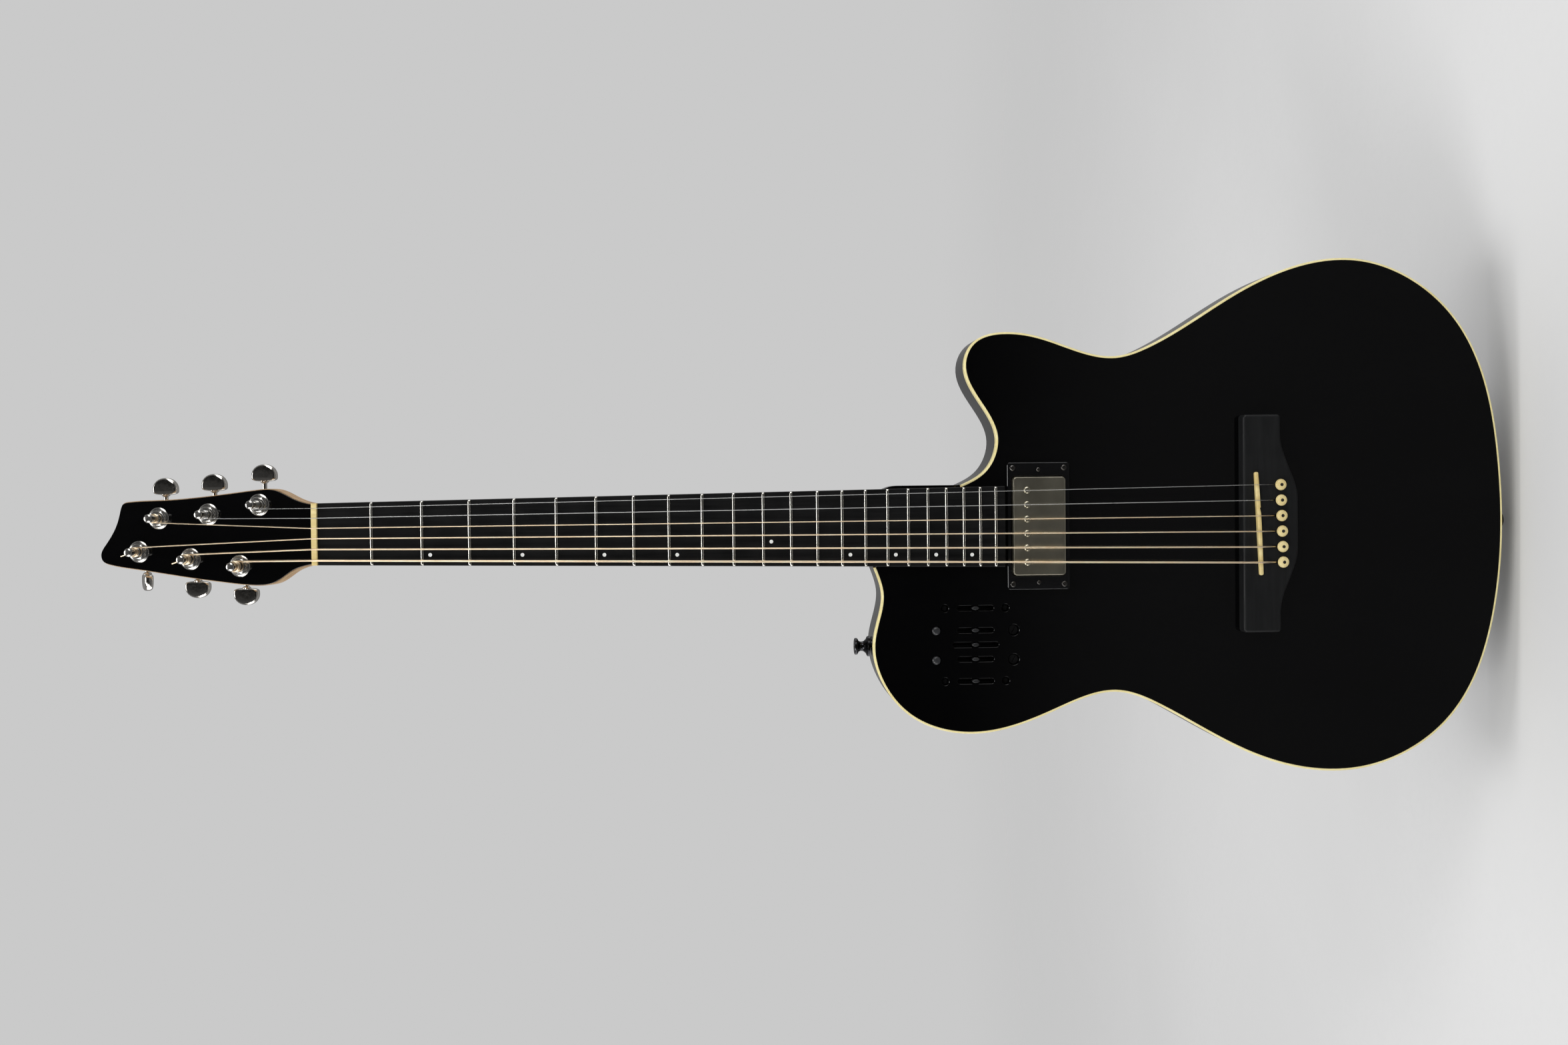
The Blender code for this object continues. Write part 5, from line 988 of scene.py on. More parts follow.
bridge_steps = [(0.0, -0.05), (0.0, 2.0 - BRIDGE_THICK), (0.15, 1.2 - BRIDGE_THICK),
    (0.6, 0.5 - BRIDGE_THICK), (1.2, 0.12 - BRIDGE_THICK), (2.0, -BRIDGE_THICK)]
bridge = stacked("string_bridge", bridge_outline(), bridge_steps, BODY, 40.0)
SADDLE_LEAN = Matrix.Rotation(-math.atan(BASS_COMPENSATION / SADDLE_SPAN), 4, "Y")
SADDLE = at(0.0, 0.0, -BASS_COMPENSATION / 2.0) @ SADDLE_LEAN
slot = around(0.0, 0.0, 36.2, 1.6, 1.5)
carve(bridge, block(slot, -BRIDGE_THICK - 1.0, 8.0 - BRIDGE_THICK, SADDLE))


def string_ramp(index):
    """A slot from the pin's hole that rises to the bridge's face in front of it."""
    x = SADDLE_X[index]
    half = STRING_DIAMETERS[index] / 2.0 + GAP
    near = pin_up(x)
    side = [(4.0 - BRIDGE_THICK, near), (4.0 - BRIDGE_THICK, near + 3.2),
        (-BRIDGE_THICK - 0.4, near + 8.4), (-BRIDGE_THICK - 1.0, near)]
    return extruded("ramp", [[(a, y, z) for y, z in side] for a in (x - half, x + half)], BODY)


for index, x in enumerate(SADDLE_X):
    hole = round_outline(x, pin_up(x), 2.7)
    place = at(0.0, -BRIDGE_THICK, 0.0)
    carve(bridge, mouthed(hole, 0.5, BRIDGE_THICK + 1.0, place))
    carve(bridge, string_ramp(index))
dress(bridge, ["bridge"], "bridge_wood")

# %% [markdown]
# The saddle leans with the bass side further back. Its crown follows the strings, falls away behind, and is
# filed back under the second string, as a compensated saddle is.

# %% Saddle
def saddle_crown(x):
    """Height of the saddle's crown in the body's frame, negative above the top."""
    return spot(NECK, x, board_drop(x) - SADDLE_RISE + GAP, -SCALE_LENGTH).y / METRES - TOP_Y


def saddle_rings():
    rings = []
    half = 36.0
    for up, drop in ((-1.5, 0.95), (-1.3, 0.6), (-0.8, 0.22), (0.0, 0.0), (0.6, 0.04), (1.1, 0.2),
            (1.4, 0.5), (1.5, 0.9)):
        xs = np.linspace(-half + 0.5, half - 0.5, 41)
        crown = [(x, saddle_crown(x) + drop, up) for x in xs]
        side = saddle_crown(half) + (drop + 0.6)
        foot = 6.4 - BRIDGE_THICK
        rings.append([(-half, foot, up), (-half, side, up)] + crown +
            [(half, side, up), (half, foot, up)])
    return rings


saddle = extruded("bone_saddle", saddle_rings(), SADDLE, 50.0)
ends = around(0.0, 0.0, 36.0, 1.5, 1.3)
carve(saddle, block(ends, -BRIDGE_THICK - 9.0, 9.0, SADDLE), "INTERSECT")
between = (SADDLE_X[1] + SADDLE_X[2]) / 2.0
notch = [(between + 0.5, -2.5), (between + 0.2, -0.6), (between - 4.5, -1.5), (between - 4.5, -2.5)]
crown = saddle_crown(between)
carve(saddle, block(notch, crown - 2.0, crown + 2.6, SADDLE))
dress(saddle, ["saddle"], "bone_cream")

# %% [markdown]
# One bridge pin is turned and copied to each string. Its domed head carries a small dark dot, a piece of
# its own let into the crown.

# %% Bridge pins
PIN_TOP = -BRIDGE_THICK - GAP
pin_profile = [(0.0, PIN_TOP - 3.0), (1.2, PIN_TOP - 2.96), (2.3, PIN_TOP - 2.75), (3.2, PIN_TOP - 2.3),
    (3.75, PIN_TOP - 1.6), (3.95, PIN_TOP - 0.9), (3.8, PIN_TOP - 0.35), (3.2, PIN_TOP), (2.4, PIN_TOP),
    (2.3, -4.0), (1.7, 12.0), (0.0, 12.0)]
dot_profile = [(0.0, PIN_TOP - 3.06), (0.8, PIN_TOP - 3.04), (1.15, PIN_TOP - 2.98),
    (1.15, PIN_TOP - 2.6), (0.0, PIN_TOP - 2.6)]
one_pin = turned("pin", pin_profile, BODY, 40)
one_dot = turned("pin_dot", dot_profile, BODY, 24)
pins = [copied(one_pin, "pin_%d" % i, x, pin_up(x)) for i, x in enumerate(SADDLE_X)]
pin_dots = [copied(one_dot, "pin_dot_%d" % i, x, pin_up(x)) for i, x in enumerate(SADDLE_X)]
for single in (one_pin, one_dot):
    bpy.data.objects.remove(single, do_unlink=True)
dress(merged("bridge_pin_set", pins), ["bridge_pins"], "pin_cream")
dress(merged("pin_dot_set", pin_dots), [], "dark_dot")

# %% [markdown]
# A string starts at its ball under the top, comes up past its pin and over the saddle, runs to the nut,
# tilts back with the headstock and winds round its post. The windings are a climbing circle that starts
# where the straight part touches it. The cut end sticks out beside the post, longest on the fourth and fifth.

# %% String routes
POST_WAIST = 2.4
POST_TIP = 14.8
WRAP_START = 5.0
WRAP_SPACE = 0.46
WRAP_POINTS = 24
WRAPS = [3, 3, 2, 2, 2, 2]
TAIL_TURN = 1.95
TAILS = [0.9, 0.9, 1.2, 6.2, 6.2, 1.2]


def side_of(index):
    return 1.0 if POST_X[index] > 0.0 else -1.0


def wrap_points(index, start):
    """The windings on a post and the cut end, for a string that comes from start in the headstock's frame."""
    radius = STRING_DIAMETERS[index] / 2.0
    coil = POST_WAIST + GAP + radius
    pitch = 2.0 * radius + WRAP_SPACE
    side = side_of(index)
    across = -side * (start.x / METRES - POST_X[index])
    down = start.z / METRES - POST_ALONG[index]
    first = math.atan2(down, across) + math.acos(coil / math.hypot(across, down))
    rest = (TAIL_TURN - first) % math.tau / math.tau
    steps = round((WRAPS[index] + rest) * WRAP_POINTS)
    points = []
    for i in range(steps + 1):
        t = first + math.tau * i / WRAP_POINTS
        points.append((coil, -WRAP_START - pitch * i / WRAP_POINTS, t))
    points.append((coil + TAILS[index], points[-1][1], t))
    return [spot(HEAD, POST_X[index] - side * r * math.cos(t), y, POST_ALONG[index] + r * math.sin(t))
        for r, y, t in points]


def string_route(index):
    radius = STRING_DIAMETERS[index] / 2.0
    x = SADDLE_X[index]
    inside = pin_up(x) + 2.4 + GAP + radius
    brink = pin_up(x) + 4.0 + 2.0 * GAP + radius
    setback = SCALE_LENGTH + BASS_COMPENSATION * (0.5 - x / SADDLE_SPAN)
    route = [spot(BODY, x, 13.0, inside), spot(BODY, x, 4.0 - BRIDGE_THICK, inside),
        spot(BODY, x, -BRIDGE_THICK, brink), spot(NECK, x, board_drop(x) - SADDLE_RISE - radius,
        -setback)]
    for along in (-GAP, NUT_THICK + GAP):
        over = string_x(index, -along)
        route.append(spot(NECK, over, board_drop(over) - FRET_HEIGHT - NUT_ACTION - radius, along))
    return route + wrap_points(index, HEAD.inverted() @ route[-1])

# %% [markdown]
# A wire is a curve with a round bevel, turned into a mesh so that it can be exported. The two thin strings
# are plain steel and the four others are wound with bronze.

# %% Strings
def wire(name, route, radius):
    """A round wire along a route, made as a bevelled curve and turned into a mesh."""
    select_only()
    bpy.ops.curve.primitive_nurbs_path_add()
    piece = bpy.context.active_object
    piece.name = name
    piece.data.splines.clear()
    line = piece.data.splines.new("POLY")
    line.points.add(len(route) - 1)
    for point, place in zip(line.points, route):
        point.co = (*place, 1.0)
    piece.data.bevel_depth = radius * METRES
    piece.data.bevel_resolution = 3
    piece.data.use_fill_caps = True
    bpy.ops.object.convert(target="MESH")
    return finish(bpy.context.active_object, None, 40.0)


for index, diameter in enumerate(STRING_DIAMETERS):
    strand = wire("wire_%d" % (index + 1), string_route(index), diameter / 2.0)
    dress(strand, ["string_%d" % (index + 1)], "plain_steel" if index < 2 else "bronze")

# %% [markdown]
# A tuning machine: a housing behind the headstock, a threaded bushing with a hexagon on a round washer in
# front, the turned post, and the key. The key's button is a rounded kidney with a bevel all round a nearly
# flat face, which is what gives the dark face inside a bright rim. One key stands turned.

# %% Tuners
KEY_DEPTH = HEAD_THICK + GAP + 4.7
KEY_OFFSET = 5.2
KEY_REACH = 22.4
KEY_HALF = 9.3
KEY_DOME = 7.9
KEY_FLAT = 4.1
KEY_LOW = -1.9
KEY_THICK = 5.6
CASE_THICK = 9.4
TURNED_KEY = 3
TURNED_ANGLE = math.radians(-51.0)


def post_place(index):
    return at(POST_X[index], 0.0, POST_ALONG[index], HEAD)


def make_post(index):
    tip = -POST_TIP
    neck_start = -3.9
    low = KEY_DEPTH - 2.2
    cap = tip + 3.0
    profile = [(0.0, tip), (1.4, tip), (2.2, tip + 0.15), (2.75, tip + 0.55), (3.0, tip + 1.1),
        (3.0, cap - 0.5), (2.8, cap - 0.25), (POST_WAIST, cap - 0.1), (POST_WAIST, neck_start - 0.8),
        (2.9, neck_start - 0.1), (3.0, neck_start + 0.2), (3.0, low), (3.4, low), (3.4, low + 4.4),
        (0.0, low + 4.4)]
    number = str(index + 1)
    post = turned("string_post_" + number, profile, post_place(index), 44, 40.0)
    dress(post, ["tuner_post_" + number], "satin_nickel", "post_" + number)


def make_bushing(place):
    """Washer, hexagon and collar as one turned and faceted stack, bored for the post."""
    washer = [(3.4, -0.05), (7.6, -0.05), (7.6, -0.3), (7.45, -0.5), (6.9, -0.85), (6.2, -1.1),
        (5.6, -1.2), (3.4, -1.2)]
    collar = [(3.3, 15.0), (3.3, -3.1), (4.3, -3.1), (4.75, -2.9), (4.95, -2.4), (4.6, -1.2), (4.6, 15.0)]
    hexed = stacked("hexagon", hexagon(6.1), [(0.0, -1.05), (0.0, -1.9), (0.3, -2.3), (0.8, -2.6)], place)
    carve(hexed, bore(3.35, -4.0, 0.0, place))
    return [turned("washer", washer, place, 56), rounded(hexed, 0.12, 2), turned("collar", collar, place, 48)]


def make_housing(index):
    place = post_place(index)
    side = side_of(index)
    front = HEAD_THICK + 0.05
    back = HEAD_THICK + GAP + CASE_THICK
    outline = rectangle((-7.0, 7.0, -7.0, 12.0), 0.0, 3.6, 8)
    steps = [(0.0, front), (0.0, back - 1.6), (0.25, back - 0.8), (0.8, back - 0.25), (1.8, back)]
    case = stacked("case", outline, steps, place)
    carve(case, bore(3.75, KEY_DEPTH - 2.6, KEY_DEPTH + 2.6, place))
    carve(case, bore(3.3, 13.0, KEY_DEPTH, place))
    ends = sorted((-side * 4.4, side * 14.0))
    key_place = at(0.0, KEY_DEPTH, KEY_OFFSET, place) @ ALONG_X
    carve(case, bore(1.85, *ends, key_place))
    boss = turned("boss", [(0.0, back - 0.4), (3.2, back - 0.4), (3.2, back - 0.02), (2.9, back),
        (0.0, back)], place, 36)
    number = str(index + 1)
    dress(merged("tuner_case_" + number, [case, boss]), ["tuner_housing_" + number],
        "tuner_nickel")


def key_rings(side, angle):
    rings = []
    half = [(0.3, 0.455), (0.6, 0.47), (0.78, 0.49), (0.84, 0.5), (0.9, 0.46), (0.95, 0.38),
        (0.985, 0.26), (1.0, 0.1)]
    for share, y in [(share, -y) for share, y in half] + half[::-1]:
        ring = []
        for i in range(56):
            t = math.tau * i / 56
            c = math.cos(t)
            s = math.sin(t)
            bow = 1.0 if c > 0.0 else 0.42
            far = KEY_DOME if c > 0.0 else KEY_FLAT
            x = KEY_REACH + KEY_LOW + share * far * math.copysign(abs(c) ** bow, c)
            z = share * KEY_HALF * math.copysign(abs(s) ** (0.94 if c > 0.0 else 0.72), s)
            turn = Matrix.Rotation(angle, 3, "X") @ Vector((x, y * KEY_THICK, z))
            ring.append((turn.x * side, turn.y, turn.z))
        rings.append(ring)
    return rings


def make_key(index):
    side = side_of(index)
    place = at(0.0, KEY_DEPTH, KEY_OFFSET, post_place(index))
    angle = TURNED_ANGLE if index == TURNED_KEY else 0.0
    button = extruded("button", key_rings(side, angle), place, 24.0)
    inner = KEY_REACH - 6.0
    profile = [(0.0, -4.0), (1.5, -4.0), (1.5, 7.35), (2.7, 7.35), (2.9, 7.6), (2.9, 8.6), (2.6, 9.0),
        (1.9, 9.3), (1.6, 9.8), (1.6, inner - 1.6), (1.9, inner - 1.1), (2.7, inner - 0.7),
        (2.9, inner - 0.2), (2.7, inner + 0.4), (2.0, inner + 3.0), (0.0, inner + 3.0)]
    shaft = turned("shaft", [(r, side * far) for r, far in profile], place @ ALONG_X, 36)
    number = str(index + 1)
    piece = merged("tuner_button_" + number, [button, shaft])
    dress(piece, ["tuner_key_" + number], "tuner_nickel", "key_" + number)


bushings = []
for index in range(6):
    make_post(index)
    make_housing(index)
    make_key(index)
    bushings += make_bushing(post_place(index))
dress(merged("tuner_bushings", bushings), [], "satin_nickel")

# %% [markdown]
# The magnetic pickup stands in a black ring. Its cover is a shell with a rounded rim and a row of holes near
# the neck side, one under each string, through which slotted pole screws show. Four crossed screws hold the
# ring, and one more at each end sets the pickup's height.

# %% Screw heads
def screw_head(radius, tall, place, cross=True, depth=0.35):
    """A low round head standing on y = 0 towards -Y, with a cross or a single slot."""
    profile = [(0.0, -tall), (radius * 0.45, -tall), (radius * 0.75, -0.86 * tall),
        (radius * 0.94, -0.5 * tall), (radius, -0.12 * tall), (radius, 0.1 * tall), (0.0, 0.1 * tall)]
    head = turned("screw", profile, None, 36, 40.0)
    thin = radius * (0.13 if cross else 0.16)
    reach = radius * (0.62 if cross else 1.1)
    for turn in ((0.0, math.pi / 2.0) if cross else (0.6,)):
        bar = block(around(0.0, 0.0, reach, thin), -tall - 1.0, -tall + depth,
            Matrix.Rotation(turn, 4, "Y"))
        carve(head, bar, angle=40.0)
    return finish(head, place, 40.0)


print("screws are cut on demand")

# %% [markdown]
# The ring and the cover share one outline maker, a rectangle round the pickup's middle.

# %% Pickup ring and its screws
def pickup_rectangle(length, width, radius):
    return around(0.0, PICKUP_UP, length / 2.0, width / 2.0, radius, 8)


ring_steps = [(0.0, -0.05), (0.0, 0.9 - RING_HEIGHT), (0.12, 0.4 - RING_HEIGHT),
    (0.4, 0.12 - RING_HEIGHT), (0.9, -RING_HEIGHT)]
ring = stacked("pickup_frame", pickup_rectangle(RING_LENGTH, RING_WIDTH, 1.8), ring_steps)
window = pickup_rectangle(PICKUP_LENGTH + 1.2, PICKUP_WIDTH + 1.2, 3.0)
carve(ring, mouthed(window, 0.35, RING_HEIGHT + 1.0, at(0.0, -RING_HEIGHT, 0.0)))
RING_SCREWS = [(x, PICKUP_UP + z) for x in (-40.5, 40.5) for z in (-18.0, 18.0)]
HEIGHT_SCREWS = [(x, PICKUP_UP) for x in (-39.3, 39.3)]
for x, z in HEIGHT_SCREWS:
    carve(ring, bore(1.2, -1.0 - RING_HEIGHT, 1.0, at(x, 0.0, z)))
dress(ring, ["pickup_ring"], "gloss_plastic")
heads = [screw_head(2.0, 0.8, at(x, -RING_HEIGHT, z)) for x, z in RING_SCREWS]
heads += [screw_head(1.5, 0.8, at(x, -RING_HEIGHT - GAP, z)) for x, z in HEIGHT_SCREWS]
dress(merged("ring_screw_heads", heads), [], "screw_dark")

# %% [markdown]
# The cover is drawn in along its rim in four steps, as pressed sheet is. The coils and base plate below it
# only show through the gap beside the cover.

# %% Pickup cover, poles and coils
POLES = [(10.0 * (2.5 - i), PICKUP_UP + 8.6) for i in range(6)]
cover_steps = [(0.0, 9.4), (0.0, 1.1 - PICKUP_HEIGHT), (0.1, 0.6 - PICKUP_HEIGHT),
    (0.35, 0.22 - PICKUP_HEIGHT), (0.75, 0.04 - PICKUP_HEIGHT), (1.2, -PICKUP_HEIGHT)]
cover = stacked("pickup_shell", pickup_rectangle(PICKUP_LENGTH, PICKUP_WIDTH, 2.6), cover_steps)
for x, z in POLES:
    carve(cover, mouthed(round_outline(x, z, 1.7), 0.15, 3.0, at(0.0, -PICKUP_HEIGHT, 0.0)))
dress(cover, ["pickup_cover"], "cover_nickel")
poles = [screw_head(2.4, 0.9, at(x, -PICKUP_HEIGHT - 0.05, z), False, 0.5) for x, z in POLES]
poles += [bore(1.5, -PICKUP_HEIGHT, 12.0, at(x, 0.0, z)) for x, z in POLES]
dress(merged("pole_screws", poles), ["pickup_poles"], "cover_nickel")
coil = [block(pickup_rectangle(62.0, 33.0, 11.0), 7.1 - PICKUP_HEIGHT, 9.5),
    block(pickup_rectangle(84.0, 13.4, 1.0), 9.7, 11.2)]
coil += [bore(0.9, -RING_HEIGHT, 12.7, at(x, 0.0, z)) for x, z in HEIGHT_SCREWS]
dress(merged("coil_block", coil), ["pickup_coils"], "cover_plastic")

# %% [markdown]
# The sliders are oval caps on thin stems that reach down into their cases on the circuit board. The two push
# buttons are domed. Two trimmers stand at the bottom of their wells with a slot each, and four crossed
# screws in deep wells carry the board.

# %% Sliders and buttons
def ellipse(a, b, y):
    return [(a * math.cos(math.tau * i / 40), y, b * math.sin(math.tau * i / 40)) for i in range(40)]


def make_slider(index):
    shapes = [(0.5, -0.8), (0.68, -0.77), (0.85, -0.62), (0.96, -0.35), (1.0, 0.0)]
    rings = [ellipse(1.3 * s, 2.6 * s, y) for s, y in shapes]
    rings += [ellipse(1.3, 2.6, TOP_THICK - 0.6), ellipse(0.6, 1.8, TOP_THICK - 0.6), ellipse(0.6, 1.8, 11.2)]
    number = str(index + 1)
    cap = extruded("slider_cap_" + number, rings, at(SLOT_ACROSS[index], 0.0, SLOT_UP), 40.0)
    dress(cap, ["slider_" + number], "slider_grey", "slider_" + number)


def make_button(index):
    profile = [(0.0, -1.7), (0.9, -1.66), (1.7, -1.48), (2.4, -1.1), (2.85, -0.6), (3.0, 0.0),
        (3.0, 8.3), (0.0, 8.3)]
    number = str(index + 1)
    cap = turned("button_cap_" + number, profile, at(BUTTON_ACROSS[index], 0.0, BUTTON_UP), 44, 40.0)
    dress(cap, ["push_button_" + number], "button_grey", "button_" + number)


for index in range(5):
    make_slider(index)
for index in range(2):
    make_button(index)

# %% [markdown]
# The preamp behind the slots is a green board with its slider cases, switches and trimmers.

# %% Preamp
BOARD_DROP = 15.4
circuit = block(rectangle(CAVITY, -1.0, 4.0), BOARD_DROP, BOARD_DROP + 1.6, name="circuit")
dress(circuit, ["preamp"], "circuit_green")
parts = []
for x, travel in zip(SLOT_ACROSS, SLOT_TRAVEL):
    reach = travel + 2.1
    end = reach + 3.0
    case = block(around(x, SLOT_UP, 3.5, end), 7.2, BOARD_DROP)
    carve(case, block(around(x, SLOT_UP, 0.9, reach), 6.0, 11.5))
    parts.append(case)
for x in BUTTON_ACROSS:
    parts.append(block(around(x, BUTTON_UP, 4.5, 4.5, 0.8), 9.8, BOARD_DROP))
    trim = turned("trim", [(0.0, 2.4), (3.2, 2.4), (3.5, 2.7), (3.5, BOARD_DROP), (0.0, BOARD_DROP)],
        at(x, 0.0, TRIM_UP), 36)
    carve(trim, block(around(0.0, 0.0, 2.4, 0.4), 1.4, 3.2,
        at(x, 0.0, TRIM_UP) @ Matrix.Rotation(0.5, 4, "Y")))
    parts.append(trim)
parts += [bore(3.6, CORE_FRONT, BOARD_DROP, at(x, 0.0, z)) for x, z in PREAMP_SCREWS]
# Painted shade: the slider cases, trimmers and well linings are made nearly black to stand in for the shade
# deep in their wells.
dress(merged("preamp_parts", parts), [], "dark_plastic_and_painted_shade")
screws = [screw_head(2.2, 1.1, at(x, 3.4, z)) for x, z in PREAMP_SCREWS]
# Painted shade: the screw heads are made nearly black to stand in for the shade at the bottom of their wells.
dress(merged("preamp_screw_heads", screws), [], "dark_plastic_and_painted_shade")

# %% [markdown]
# The back has three flush pieces: a plastic cover over the preamp held by six small screws, a steel plate
# over the four bolts that hold the neck, and the battery's compartment with its hinged lid.

# %% Back covers
BACK = Matrix.Rotation(math.pi, 4, "Z")


def sunk_plate(name, outline, thick, sink):
    """A flush plate with its outer edge broken."""
    steps = [(0.0, BODY_DEPTH - thick), (0.0, BODY_DEPTH - 0.4), (0.12, BODY_DEPTH - 0.12),
        (0.4, BODY_DEPTH)]
    plate = stacked(name, outline, steps)
    for x, z, radius in sink:
        profile = [(0.0, -1.0), (radius + 0.25, -1.0), (radius + 0.25, 0.0), (radius + 0.1, 0.6),
            (0.0, 0.6)]
        carve(plate, turned("sink", profile, at(x, BODY_DEPTH, z) @ BACK, 36))
    return plate


x0, x1, z0, z1 = CAVITY
half = COVER_LEDGE / 2.0
COVER_SCREWS = [(x, z) for x in (x0 + half, x1 - half, (x0 + x1) / 2.0) for z in (z0 - half, z1 + half)]
outline = rectangle(CAVITY, COVER_LEDGE, COVER_CORNER, 10)
plate = sunk_plate("preamp_cover", outline, COVER_THICK, [(x, z, 1.9) for x, z in COVER_SCREWS])
dress(plate, ["control_cover"], "cover_plastic")
heads = [screw_head(1.9, 0.55, at(x, BODY_DEPTH - 0.6, z) @ BACK) for x, z in COVER_SCREWS]
dress(merged("cover_screw_heads", heads), [], "screw_dark")
plate = sunk_plate("bolt_plate", plate_outline, 1.5, [(x, z, 3.6) for x, z in BOLTS])
dress(plate, ["neck_plate"], "plate_nickel")
heads = [screw_head(3.6, 0.55, at(x, BODY_DEPTH - 0.6, z) @ BACK, True, 0.5) for x, z in BOLTS]
dress(merged("neck_bolt_heads", heads), [], "plate_nickel")

# %% [markdown]
# The battery's bay is a thin box with a rim. Its lid has a round hinge edge at the lower end and a finger
# notch at the other.

# %% Battery bay
bay = block(battery_outline(3.0), BATTERY_FLOOR - 1.8, BODY_DEPTH, name="battery_bay")
rim_steps = [(0.0, BODY_DEPTH - 3.6), (0.0, BODY_DEPTH - 0.4), (0.12, BODY_DEPTH - 0.1),
    (0.4, BODY_DEPTH)]
carve(bay, stacked("bay_rim", battery_outline(7.0), rim_steps), "UNION")
carve(bay, block(battery_outline(1.2), BATTERY_FLOOR, BODY_DEPTH + 1.0))
carve(bay, block(battery_outline(2.9), BODY_DEPTH - LID_THICK - GAP, BODY_DEPTH + 1.0))
dress(bay, ["battery_box"], "cover_plastic")
lid_x0, lid_x1, low_end, top_end = [c + 2.6 * side for c, side in zip(BATTERY, (-1, 1, -1, 1))]
hinge_up = low_end + LID_THICK / 2.0
section = [(BODY_DEPTH, top_end - 0.3), (BODY_DEPTH - 0.3, top_end), (BODY_DEPTH - LID_THICK, top_end)]
section += arc(BODY_DEPTH - LID_THICK / 2.0, hinge_up, LID_THICK / 2.0, 180, 360, 14)
lid = extruded("bay_lid", [[(a, y, z) for y, z in section] for a in (lid_x0, lid_x1)], BODY)
carve(lid, bore(6.0, BODY_DEPTH - 0.9, OUT, at(BATTERY_ACROSS, 0.0, top_end - 4.0)))
dress(rounded(lid, 0.18, 2, 60.0), ["battery_lid"], "cover_plastic", "lid")
cell_y = BATTERY_FLOOR + GAP
cell_top = BATTERY[3] - 3.0
cell = block(rectangle((*BATTERY[:3], cell_top), 0.0, 1.5), cell_y, cell_y + 17.5)
snaps = [bore(2.9, cell_top - 0.5, cell_top + 3.0, at(BATTERY_ACROSS + x, cell_y + 8.75, 0.0) @ ALONG_Z)
    for x in (-6.35, 6.35)]
dress(merged("block_battery", [rounded(cell, 0.5, 3)] + snaps), ["battery"], "cell_wrap")

# %% [markdown]
# On the rim of the treble lower bout a small plate carries two sockets, each a bored barrel with a hexagon
# nut outside.

# %% Jacks
face = RIM_X - PLATE_RECESS
plate = rim_plate("socket_plate", 20.0, 45.0, 4.0, face - 1.6, face, 10)
for z in JACK_UPS:
    carve(plate, bore(5.0, face - 15.0, face + 1.0, at(0.0, JACK_DEPTH, z) @ ALONG_X))
dress(rounded(plate, 0.3, 2, 60.0), ["jack_plate"], "gloss_plastic")


def make_jack(number, up):
    out = face + GAP + 2.4
    case = face - 1.6 - GAP
    end = face - 27.0
    place = at(0.0, JACK_DEPTH, up) @ ALONG_X
    barrel = [(0.0, end + 1.5), (3.4, end + 1.5), (3.4, out - 0.3), (3.7, out), (4.3, out),
        (4.6, out - 0.3), (4.65, case), (7.0, case), (7.0, end), (0.0, end)]
    tube = turned("barrel", barrel, place, 48)
    nut_steps = [(0.0, face + GAP), (0.0, out - 0.9), (0.5, out - 0.5)]
    hexed = stacked("jack_nut", hexagon(6.6), nut_steps, place)
    carve(hexed, bore(4.7, face - 1.0, out + 1.0, place))
    piece = merged("socket_%d" % number, [tube, rounded(hexed, 0.15, 2)])
    dress(piece, ["output_jack_%d" % number], "plate_nickel")


for number, up in enumerate(JACK_UPS, 1):
    make_jack(number, up)

# %% [markdown]
# Strap buttons are turned, one on the shoulder and one at the tail. The profile starts with the screw that
# holds the button in the body.

# %% Strap buttons
STRAP_ACROSS = -84.9
shoulder = min((abs(x - STRAP_ACROSS), z) for x, z in body_outline if z > 0.0)[1] + BINDING_WIDTH
STRAP_PROFILE = [(0.0, -22.0), (1.9, -22.0), (1.9, 0.3), (6.9, 0.3), (7.2, 0.3), (7.2, 1.7), (6.6, 2.2),
    (5.0, 3.0), (3.9, 4.1), (3.4, 5.4), (3.4, 6.9), (3.9, 7.9), (5.2, 8.6), (5.75, 9.0), (5.9, 9.6),
    (5.9, 10.3), (5.6, 10.9), (4.6, 11.2), (2.4, 11.2), (2.2, 10.7), (0.0, 10.7)]


def make_strap_button(number, x, up, direction):
    profile = [(r, direction * far) for r, far in STRAP_PROFILE]
    button = turned("strap_peg_%d" % number, profile, at(x, JACK_DEPTH, up) @ ALONG_Z, 56, 40.0)
    dress(button, ["strap_button_%d" % number], "strap_black")


make_strap_button(1, STRAP_ACROSS, shoulder, 1.0)
make_strap_button(2, 0.0, TAIL_UP, -1.0)

# %% [markdown]
# Two solids stay as they are because they lie inside: the truss rod, and the strip under the saddle. They
# only get their finishes.

# %% Hidden pieces
for name, look in (("truss_rod", "plate_nickel"), ("saddle_transducer", "screw_dark")):
    hidden = bpy.data.objects[name]
    hidden.data.materials.clear()
    hidden.data.materials.append(LOOKS[look])
    print(name, "wears", look)

# %% [markdown]
# A pale floor lies under the tail and fades out with distance. A gloss black top mirrors whatever stands in
# front of it, so the floor is faint in reflections.

# %% Floor
FLOOR_UP = -0.842
select_only()
bpy.ops.mesh.primitive_circle_add(vertices=96, radius=4.0, fill_type="NGON", location=(0.0, 0.0, 0.0))
floor = bpy.context.active_object
floor.name = "floor"
floor.data.transform(Matrix.Translation((0.0, 0.0, FLOOR_UP)))
tree, here, _ = toned("floor_paint", (0.78, 0.78, 0.78), (0.80, 0.80, 0.80), (3.0, 3.0, 3.0), 60.0)
split = add_node(tree, "SeparateXYZ", {"Vector": here})
flat = add_node(tree, "CombineXYZ", {"X": split.outputs["X"], "Y": split.outputs["Y"]})
far = add_node(tree, "VectorMath", {0: flat}, operation="LENGTH")
fade = ramp(tree, far.outputs["Value"], 0.5, 3.0, 1.0, 0.0, "SMOOTHSTEP")
glossy_ray = add_node(tree, "LightPath").outputs["Is Glossy Ray"]
mirrored = ramp(tree, glossy_ray, 0.0, 1.0, 1.0, 0.1)
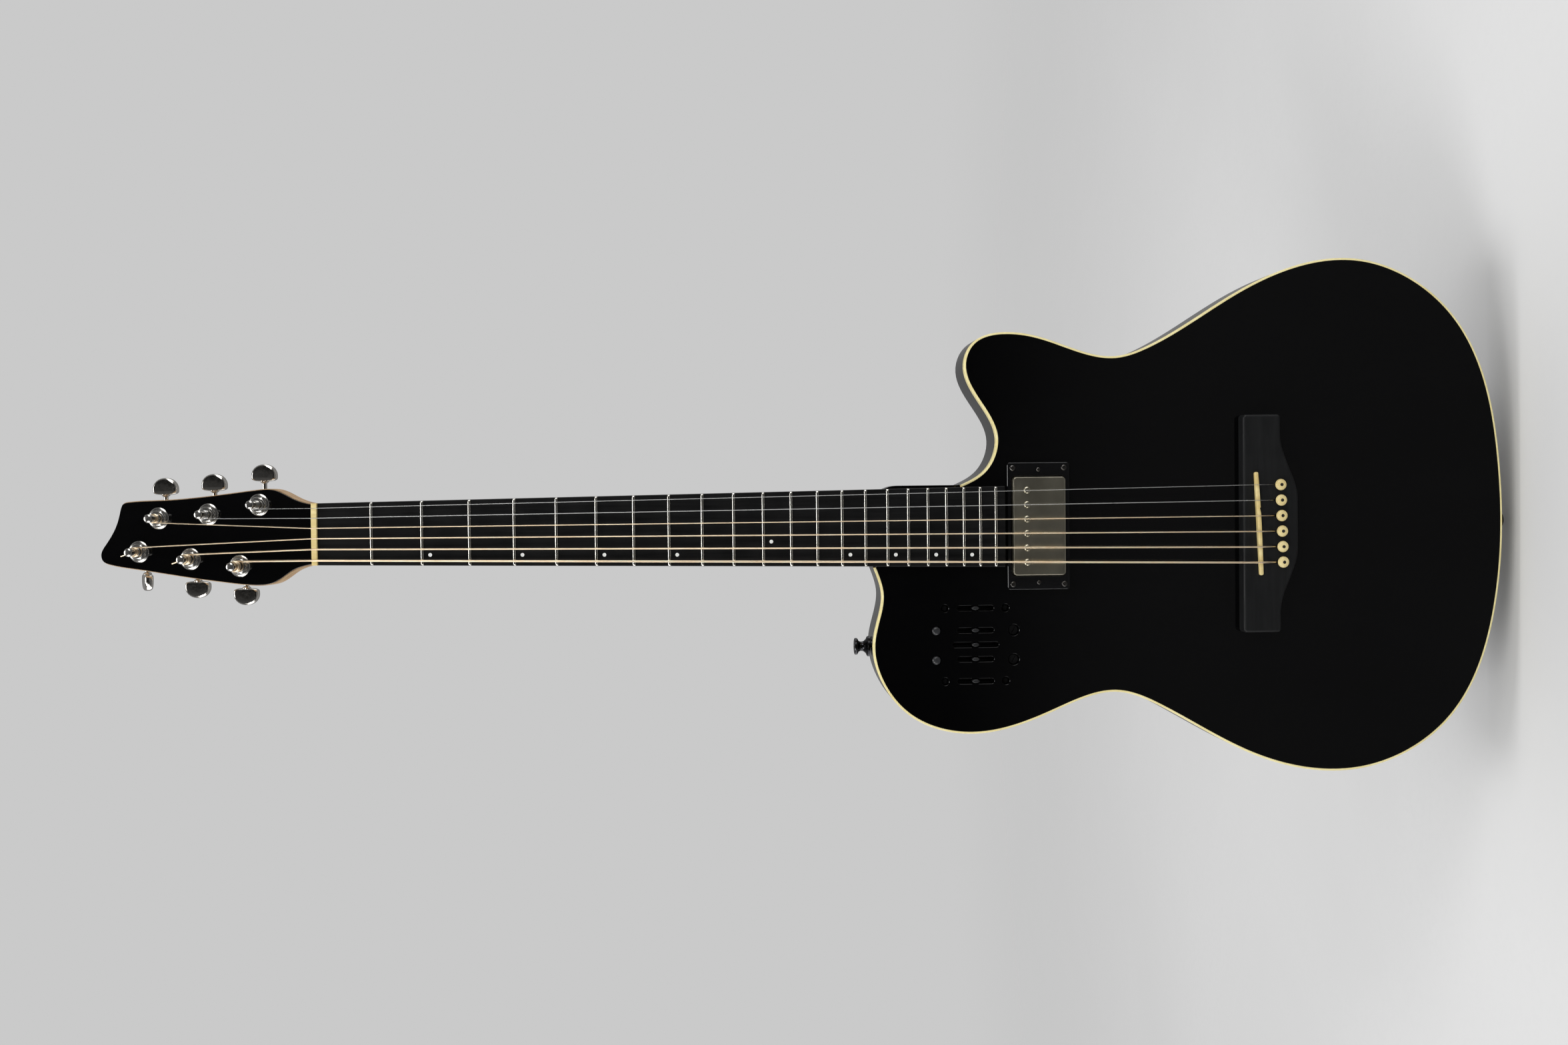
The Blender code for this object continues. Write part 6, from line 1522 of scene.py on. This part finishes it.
opaque = add_node(tree, "Math", {0: fade, 1: mirrored}, operation="MULTIPLY")
shader = tree.nodes["Principled BSDF"]
tree.links.new(opaque.outputs[0], shader.inputs["Alpha"])
shader.inputs["Roughness"].default_value = 0.8
floor.data.materials.append(LOOKS["floor_paint"])
print("the floor lies at", FLOOR_UP, "m")

# %% [markdown]
# The sky is pale to the camera. The sky that glossy rays meet is pale behind the guitar and nearly dark in
# front of it, as a dim room behind the photographer would be. Two bright walls low at the sides, seen by
# glossy rays alone, draw the long highlights on the strings.

# %% Sky
SKY_TO_CAMERA = 0.59
SKY_TO_OTHERS = 0.55
WALL_STRENGTH = 1.9
world = bpy.data.worlds.new("studio")
bpy.context.scene.world = world
world.use_nodes = True
tree = world.node_tree
sky = tree.nodes["Background"]
path = add_node(tree, "LightPath").outputs
gaze = add_node(tree, "TexCoord").outputs["Generated"]
direction = add_node(tree, "SeparateXYZ", {"Vector": gaze}).outputs
dim = ramp(tree, noise(tree, gaze, 1.7, 1.0), 0.4, 0.62, 0.008, 0.06, "SMOOTHSTEP")
behind = ramp(tree, direction["Y"], -0.5, 0.3, dim.outputs[0], 0.22, "SMOOTHSTEP")
aside = add_node(tree, "Math", {0: direction["X"]}, operation="ABSOLUTE")
level = add_node(tree, "Math", {0: direction["Z"]}, operation="ABSOLUTE")
side_wall = ramp(tree, aside, 0.68, 0.8, 0.0, WALL_STRENGTH, "SMOOTHSTEP")
low_band = ramp(tree, level, 0.25, 0.4, 1.0, 0.0, "SMOOTHSTEP")
walls = add_node(tree, "Math", {0: side_wall, 1: low_band, 2: behind}, operation="MULTIPLY_ADD")
glossy = add_node(tree, "Mix", {"Factor": path["Is Glossy Ray"], 2: SKY_TO_OTHERS, 3: walls},
    data_type="FLOAT")
seen = add_node(tree, "Mix", {"Factor": path["Is Camera Ray"], 2: glossy, 3: SKY_TO_CAMERA},
    data_type="FLOAT")
sky.inputs["Color"].default_value = (1.0, 1.0, 1.0, 1.0)
tree.links.new(seen.outputs[0], sky.inputs["Strength"])
print("sky is set")

# %% [markdown]
# Three large soft lamps stand at the sides and above, where their mirror images miss the flat top. They
# model the rim, the keys and the strings with broad highlights.

# %% Lamps
def soft_lamp(name, place, target, size, power):
    bpy.ops.object.light_add(type="AREA", location=place)
    lamp = bpy.context.active_object
    lamp.name = name
    lamp.data.size = size
    lamp.data.energy = power
    lamp.rotation_euler = (Vector(target) - Vector(place)).to_track_quat("-Z", "Y").to_euler()
    return lamp


soft_lamp("lamp_bass_side", (-1.4, -1.3, 0.95), (0.0, 0.0, -0.4), 0.9, 17.0)
soft_lamp("lamp_treble_side", (1.5, -1.2, 0.25), (0.0, 0.0, -0.4), 0.9, 9.0)
soft_lamp("lamp_above", (-0.1, -0.28, 1.6), (0.0, 0.0, -0.3), 0.8, 12.0)
bpy.context.scene.view_settings.view_transform = "Standard"
print("three lamps are lit")
